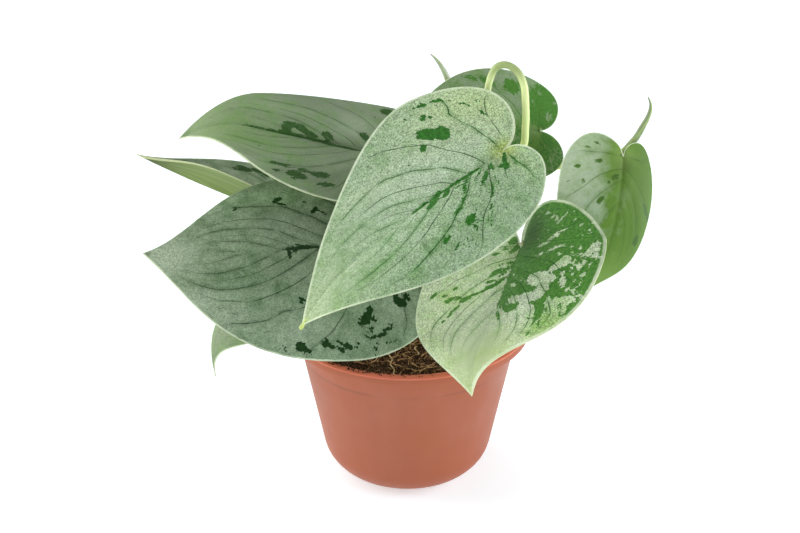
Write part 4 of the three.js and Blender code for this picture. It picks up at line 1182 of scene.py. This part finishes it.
def make_vine(name, vine, skin):
    """A stem and its stalks, grown together, with swollen nodes where the stalks leave the stem, and
    stalks that are thickest there."""
    x, y = vine["root"]
    foot = SOIL_LEVEL - STEM_DEPTH + SEAT_GAP
    stem = smooth_route([(x, y, foot), (x, y, foot + STEM_DEPTH / 2)] + vine["stem"])
    swell = [np.array(route[0]) for route, _ in vine["stalks"].values()]
    radii = []
    for i, place in enumerate(stem):
        plain = STEM_RADIUS + (STALK_RADIUS - STEM_RADIUS) * i / (len(stem) - 1)
        node = max(math.exp(-((np.linalg.norm(place - s) / NODE_REACH) ** 2)) for s in swell)
        radii.append(plain * (1 + NODE_SWELL * node))
    runs = [(stem, 0.0)]
    parts = [tube(stem, radii)]
    for leaf_name, (route, under) in vine["stalks"].items():
        leaf = LEAVES[leaf_name]
        seat = blade_point(leaf, *under)
        places = smooth_route(list(route) + [seat, stalk_end(leaf, seat)])
        radii = [
            STALK_RADIUS * (STALK_TAPER[0] - STALK_TAPER[1] * i / (len(places) - 1))
            + SHEATH_SWELL * math.exp(-i / SHEATH_REACH)
            for i in range(len(places))
        ]
        parts.append(tube(places, radii))
        runs.append((places, 1.0))
    grown = joined(parts)
    apply_modifier(grown, "REMESH", mode="VOXEL", voxel_size=SKIN_VOXEL * MM)
    apply_modifier(grown, "SMOOTH", factor=0.5, iterations=4)
    note_run(grown, runs)
    dress(grown, skin)
    finish_piece(grown, name + "_skin", [name], smooth=60)


def note_run(piece, runs):
    """Notes at each point: millimetres along its stem or stalk, millimetres round it, and how near the
    blade it is, from 0 on a stem to 1 at a stalk's top."""
    points = points_of(piece)
    nearest = np.full(len(points), np.inf)
    along, around, top = np.zeros((3, len(points)))
    for number, (places, is_stalk) in enumerate(runs):
        path = np.array(places)
        steps = lengths_along(path)
        gap = np.linalg.norm(points[:, None] - path[None], axis=2)
        at = gap.argmin(1)
        closer = gap.min(1) < nearest
        nearest[closer] = gap.min(1)[closer]
        away = points - path[at]
        turn = np.arctan2(away[:, 1] + 0.3 * away[:, 2], away[:, 0])
        # Each stalk's streaks start elsewhere in the noise.
        along[closer] = (steps[at] + 40 * number)[closer]
        around[closer] = (turn * STALK_RADIUS)[closer]
        top[closer] = (is_stalk * steps[at] / steps[-1])[closer]
    note(piece, "run", along, around, top)


# ---- Leaf blades ----


def ramp(value, start, span):
    """0 up to the start, and climbing to 1 a span further on, or a negative span further back."""
    return np.clip((value - start) / span, 0, 1)


def bezier(a, b, c, d, t):
    """Points on the curve from a to d, drawn towards b and c, at each share t."""
    t = t[:, None]
    a, b, c, d = (np.array(p, float) for p in (a, b, c, d))
    return (1 - t) ** 3 * a + 3 * (1 - t) ** 2 * t * b + 3 * (1 - t) * t * t * c + t**3 * d


def margin(leaf, half, row):
    """The margin of one half at each row, from the sinus (row 0) round the lobe to the tip (last row)."""
    length, width, back = leaf["length"], leaf["half_width"][half], leaf["lobe"][half]
    wide = leaf["widest_at"][half] * length
    lobe_out = LOBE_AT * width
    tip_turn = math.radians(leaf["tip_angle"][half])
    tip_run = TIP_REACH * (length - wide)
    rear, widest, bulge = (-back, lobe_out), (wide, width), 0.55
    lobe = bezier(
        (0, 0), (-0.55 * back, 0.05 * lobe_out), (-back, 0.5 * lobe_out), rear,
        ramp(row, 0, LOBE_ROWS),
    )
    flank = bezier(
        rear, (-back, lobe_out + bulge * (width - lobe_out)), (wide - bulge * (wide + back), width), widest,
        ramp(row, LOBE_ROWS, FLANK_ROWS),
    )
    taper = bezier(
        widest, (wide + leaf["fullness"][half] * (length - wide), width),
        (length - tip_run * math.cos(tip_turn), tip_run * math.sin(tip_turn)), (length, 0),
        ramp(row, LOBE_ROWS + FLANK_ROWS, TAPER_ROWS),
    )
    in_lobe, in_flank = (row < LOBE_ROWS)[:, None], (row < LOBE_ROWS + FLANK_ROWS)[:, None]
    edge = np.where(in_lobe, lobe, np.where(in_flank, flank, taper))
    edge[:, 1] = (1 if half == 0 else -1) * edge[:, 1] + leaf["skew"] * np.maximum(0, -edge[:, 0])
    return edge


def blade_plan(leaf, row_share, side):
    """Where the blade's point lies in plan: row share 0 at the sinus to 1 at the tip, side -1 to 1."""
    row = row_share * ROWS
    rib = np.stack([leaf["length"] * row_share**RIB_SPREAD, 0 * row_share], -1)
    edge = np.where((side >= 0)[:, None], margin(leaf, 0, row), margin(leaf, 1, row))
    out = np.abs(side)
    plan = rib + (edge - rib) * out[:, None]
    bend = 4 * out * (1 - out) * np.maximum(0, ROW_BEND - ROW_EASE * row)
    plan[:, 1] += np.sign(side) * bend * ((row_share > 0) & (row_share < 1))
    return plan


def blade_height(leaf, along, across):
    """The blade's upper face over its flat plan: bowed along, folded and drooping across."""
    left = across >= 0

    def of_half(pair):
        return np.where(left, pair[0], pair[1])

    share = along / leaf["length"]
    out = np.abs(across)
    bow = leaf["arch"] * (1 - (2 * np.clip(share, -0.3, 1) - 1) ** 2)
    droop = of_half(leaf["droop"]) * (out / of_half(leaf["half_width"])) ** 2
    tip = leaf["tip_drop"] * ramp(share, 0.7, 0.3) ** 2
    front = 0.1 * leaf["length"]
    behind = ramp(along, front, -(front + of_half(leaf["lobe"])))
    return bow + of_half(leaf["fold"]) * out - droop - tip + leaf["lobe_lift"] * behind**2


def vein_number(leaf, plan):
    """Counts the veins, which fan out from the sinus and bend forward towards the margin: a main vein
    runs along each whole number and a half."""
    along, across = plan.T
    rows = np.linspace(LOBE_ROWS, ROWS, 200)
    left, right = margin(leaf, 0, rows), margin(leaf, 1, rows)
    width = np.where(
        across >= 0,
        np.interp(along, left[:, 0], np.abs(left[:, 1])),
        np.interp(along, right[:, 0], np.abs(right[:, 1])),
    )
    out = np.minimum(1.05, np.abs(across) / np.maximum(width, 0.5))
    share = along / leaf["length"]
    # The lobes hold as many veins in less length.
    share = np.where(share < 0, 2.5 * share, share)
    return VEINS * share * (1 - 1.52 * out + 0.72 * out**2) + np.where(across >= 0, 0.5, 0.35)


def vein_slope(leaf, plan):
    """How the vein number climbs, per millimetre along and across."""
    step = 0.05
    climbs = []
    for way in ((step, 0.0), (0.0, step)):
        climbs.append((vein_number(leaf, plan + way) - vein_number(leaf, plan - way)) / (2 * step))
    return np.stack(climbs, -1)


def patch_strength(plan, slopes, along, across, half_length, half_width, angle=None):
    """1 inside a patch, falling to 0 past its edge. It lies along the veins, within a millimetre of the
    midrib along that, or at the angle given."""
    centre = np.array([along, across], float)
    nearest = np.linalg.norm(plan - centre, axis=1).argmin()
    over = slopes[nearest] / np.linalg.norm(slopes[nearest])
    if abs(across) <= 1:
        over = np.array([0.0, 1.0])
    if angle is not None:
        over = np.array([-math.sin(math.radians(angle)), math.cos(math.radians(angle))])
    way = np.array([-over[1], over[0]])
    offset = plan - centre
    far = np.hypot(offset @ way / half_length, offset @ over / half_width)
    return ramp(far, 1.35, -0.7)


def mark_blade(blade, marks, plan, left, slopes, share):
    """Notes at each point how silvery, yellow and frosted the blade is there, the frost carrying a painted
    sheen too, how much painted shade darkens it or, where negative, painted light brightens it, and how
    smooth it is.
    """
    silver = np.where(left, *marks["silver"])
    for along, across, half_length, half_width, amount, *angle in marks["patches"]:
        silver += amount * patch_strength(plan, slopes, along, across, half_length, half_width, *angle)
    tip_gold, sinus_gold = marks["gold"]
    gold = tip_gold * ramp(share, 0.55, 0.45) ** 1.3
    # The very point is yellow-green on every blade.
    gold = gold + 0.9 * ramp(share, 0.965, 0.02)
    gold = gold + sinus_gold * np.exp(-((np.linalg.norm(plan, axis=1) / 6) ** 2))
    frost_and_painted_sheen, dark, smooth = np.zeros((3, len(plan)))
    for along, across, half_length, half_width, *amounts in marks["shades"]:
        far = np.hypot((plan[:, 0] - along) / half_length, (plan[:, 1] - across) / half_width)
        for layer, amount in zip((frost_and_painted_sheen, gold, dark, smooth), amounts):
            layer += amount * np.exp(-(far**2))
    # The skin attribute carries the hem's width, the painted shade (negative for painted light) and how
    # smooth the blade is.
    note(blade, "skin", np.where(left, *marks["hem"]), dark, smooth)
    note(blade, "tone", np.clip(silver, -0.2, 1.2), np.clip(gold, 0, 1), np.clip(frost_and_painted_sheen, -1, 1))


def thicken_blade(blade, to_edge, across, share):
    """Gives the blade its thickness: full along the rib's first half, two thirds of that elsewhere, and
    half of it at the margin."""
    rib = np.exp(-((across / RIB_WIDTH) ** 2)) * np.clip((1 - share) * 2, 0.6, 1)
    thick = np.maximum(THIN_PART * np.clip(0.7 + to_edge / 8, 0, 1), rib)
    group = blade.vertex_groups.new(name="thickness")
    levels = np.round(thick * THICKNESS_LEVELS).astype(int)
    for level in np.unique(levels):
        group.add(np.nonzero(levels == level)[0].tolist(), level / THICKNESS_LEVELS, "REPLACE")
    merge_points(blade)
    apply_modifier(
        blade, "SOLIDIFY", thickness=BLADE_THICKNESS * MM, offset=-1, vertex_group="thickness",
        material_offset=1, material_offset_rim=2,
    )


def make_leaf(name, leaf, *skins):
    """One blade: a fine grid laid over its plan, bowed as in CAD, quilted between the veins, with a
    channel over the midrib, then marked and given its thickness. Its skins are those of the upper
    face, the underside and the hem."""
    pick()
    bpy.ops.mesh.primitive_grid_add(size=2 * MM, **BLADE_GRID)
    blade = bpy.context.object
    flat = points_of(blade)
    side, row_share = np.clip(-flat[:, 0], -1, 1), np.clip((flat[:, 1] + 1) / 2, 0, 1)
    side = np.sign(side) * np.abs(side) ** 0.95
    plan = blade_plan(leaf, row_share, side)
    along, across = plan.T
    left, share = side >= 0, along / leaf["length"]

    slopes = vein_slope(leaf, plan)
    vein_gap = np.clip(1 / np.maximum(1e-6, np.linalg.norm(slopes, axis=1)), 1, 60)
    rows = np.linspace(0, 1, MARGIN_STEPS) * ROWS
    outline = np.concatenate([margin(leaf, 0, rows), margin(leaf, 1, rows)])
    to_edge = np.array([np.linalg.norm(outline - p, axis=1).min() for p in plan])

    number = vein_number(leaf, plan)
    from_sinus = np.linalg.norm(plan, axis=1)
    ridge = QUILT_RISE * (1 + np.cos(TURN * number))
    quilt = ridge * ramp(vein_gap, 2, 3) * ramp(to_edge, 0, 6)
    channel = CHANNEL_DEPTH * np.exp(-(across**2)) * ramp(along, leaf["length"], -30)
    height = blade_height(leaf, along, across) + quilt - channel * (from_sinus > 1)
    put_points(blade, np.column_stack([plan, height]) @ turn_of(leaf).T + np.array(leaf["sinus"]))

    note(blade, "place", along, across, to_edge)
    # The right half's streaks start elsewhere in the noise.
    note(blade, "vein", from_sinus + 200 * (~left), number, vein_gap)
    mark_blade(blade, MARKINGS[name], plan, left, slopes, share)
    dress(blade, *skins)
    thicken_blade(blade, to_edge, across, share)
    finish_piece(blade, name + "_blade", [name], smooth=55)


def make_tip_bead(leaf, skin):
    """The thickened yellow-green point in which the tallest blade ends."""
    # How far past the tip each of its places is, and how far up from the upper face.
    spots = [(-4, -0.4), (-2, -0.5), (0, -0.6), (1.6, -0.9)]
    places = smooth_route([blade_point(leaf, leaf["length"] + past, 0, up) for past, up in spots], 0.4)
    share = np.linspace(0, 1, len(places))
    radii = np.interp(share, [0, 0.45, 0.75, 0.93, 1], [0.35, 0.65, 1.0, 0.8, 0.3])
    bead = tube(places, radii)
    note_run(bead, [(places, 0.0)])
    dress(bead, skin)
    finish_piece(bead, "leaf_front_tip", smooth=60)


# ---- Rolled young leaves ----


def make_spear(name, vine_name, places, bloom):
    """A young leaf rolled round itself twice, thickest a third of the way up and pointed on top."""
    before, end = (np.array(p, float) for p in VINES[vine_name]["stem"][-2:])
    way = (end - before) / np.linalg.norm(end - before)
    route = smooth_route([end - 1.2 * way, end + 2 * STALK_RADIUS * way] + places, 0.5)
    path = np.array(route)
    steps = lengths_along(path)
    pick()
    bpy.ops.mesh.primitive_grid_add(size=2 * MM, **ROLL_GRID)
    roll = bpy.context.object
    flat = points_of(roll)
    around, up = (flat[:, 0] + 1) / 2, (flat[:, 1] + 1) / 2
    at = up * steps[-1]
    centre = np.stack([np.interp(at, steps, path[:, k]) for k in range(3)], -1)
    tangent = np.stack([np.interp(at, steps, np.gradient(path[:, k], steps)) for k in range(3)], -1)
    tangent /= np.linalg.norm(tangent, axis=1)[:, None]
    across = np.cross(tangent, [0.0, 1.0, 0.0])
    across /= np.linalg.norm(across, axis=1)[:, None]
    out = np.cross(tangent, across)
    girth = STALK_RADIUS * np.interp(up, [0, 0.08, 0.3, 0.6, 0.85, 1], [0.82, 1.0, 1.12, 0.9, 0.52, 0.16])
    wound = ROLL_TURNS * TURN * around
    turn = wound + 2.2 * up
    radius = girth * (1 - 0.3 * around)
    ring = np.cos(turn)[:, None] * across + np.sin(turn)[:, None] * out
    put_points(roll, centre + radius[:, None] * ring)
    seam = np.exp(-((wound * girth / 0.8) ** 2))
    fresh = np.clip(0.7 * seam + 0.5 * (1 - up) ** 3, 0, 1)
    note(roll, "run", at, wound * STALK_RADIUS, fresh)
    dress(roll, rolled_leaf("bloom_of_" + name, *bloom))
    apply_modifier(roll, "SOLIDIFY", thickness=ROLL_THICKNESS * MM, offset=-1)
    finish_piece(roll, name + "_roll", [name], smooth=50)


# ---- Studio ----


def area_light(name, place, size, power, tint):
    """A square softbox that faces the plant."""
    pick()
    bpy.ops.object.light_add(type="AREA", location=place)
    lamp = bpy.context.object
    lamp.name = name
    lamp.rotation_euler = (LAMPS_LOOK_AT - Vector(place)).to_track_quat("-Z", "Y").to_euler()
    lamp.data.size = size
    lamp.data.energy = power
    lamp.data.color = colour(tint)[:3]


def make_studio():
    """White paper under and behind the plant, and broad soft lights from both sides and above."""
    pick()
    bpy.ops.mesh.primitive_plane_add(size=PAPER_SIZE)
    floor = bpy.context.object
    floor.name = "paper_floor"
    floor.data.materials.append(paper_sweep())
    for name, lamp in LAMPS.items():
        area_light(name, *lamp)
    world = bpy.data.worlds.new("pale_studio")
    bpy.context.scene.world = world
    world.use_nodes = True
    world.node_tree.nodes.clear()
    sky = add_node(world.node_tree, "Background", {"Color": "#f4f6f8", "Strength": 0.2})
    add_node(world.node_tree, "OutputWorld", {"Surface": sky})
    pick()
    bpy.ops.object.camera_add(
        location=Vector(CAMERA_AT) * MM, rotation=(math.radians(CAMERA_TILT), 0, 0)
    )
    camera = bpy.context.object
    camera.data.lens = LENS
    camera.data.sensor_width = SENSOR
    camera.data.clip_start = NEAREST_SEEN
    bpy.context.scene.camera = camera
    bpy.context.scene.view_settings.view_transform = "Standard"


# ---- The plant in its pot ----

make_pot()
make_soil()
make_crumbs()
make_fibres()
make_roots(dry_fibre("bare_root_skin", "#b0905f", "#dcc598"))
green_skin = stalk_skin()
for vine_name, vine in VINES.items():
    make_vine(vine_name, vine, green_skin)
below, edge = leaf_underside(), leaf_hem()
for leaf_name, leaf in LEAVES.items():
    make_leaf(leaf_name, leaf, satin_leaf("satin_" + leaf_name, *COLOURS[leaf_name]), below, edge)
make_tip_bead(LEAVES["leaf_front"], green_skin)
for spear_name, (vine_name, places, bloom) in SPEARS.items():
    make_spear(spear_name, vine_name, places, bloom)
make_studio()
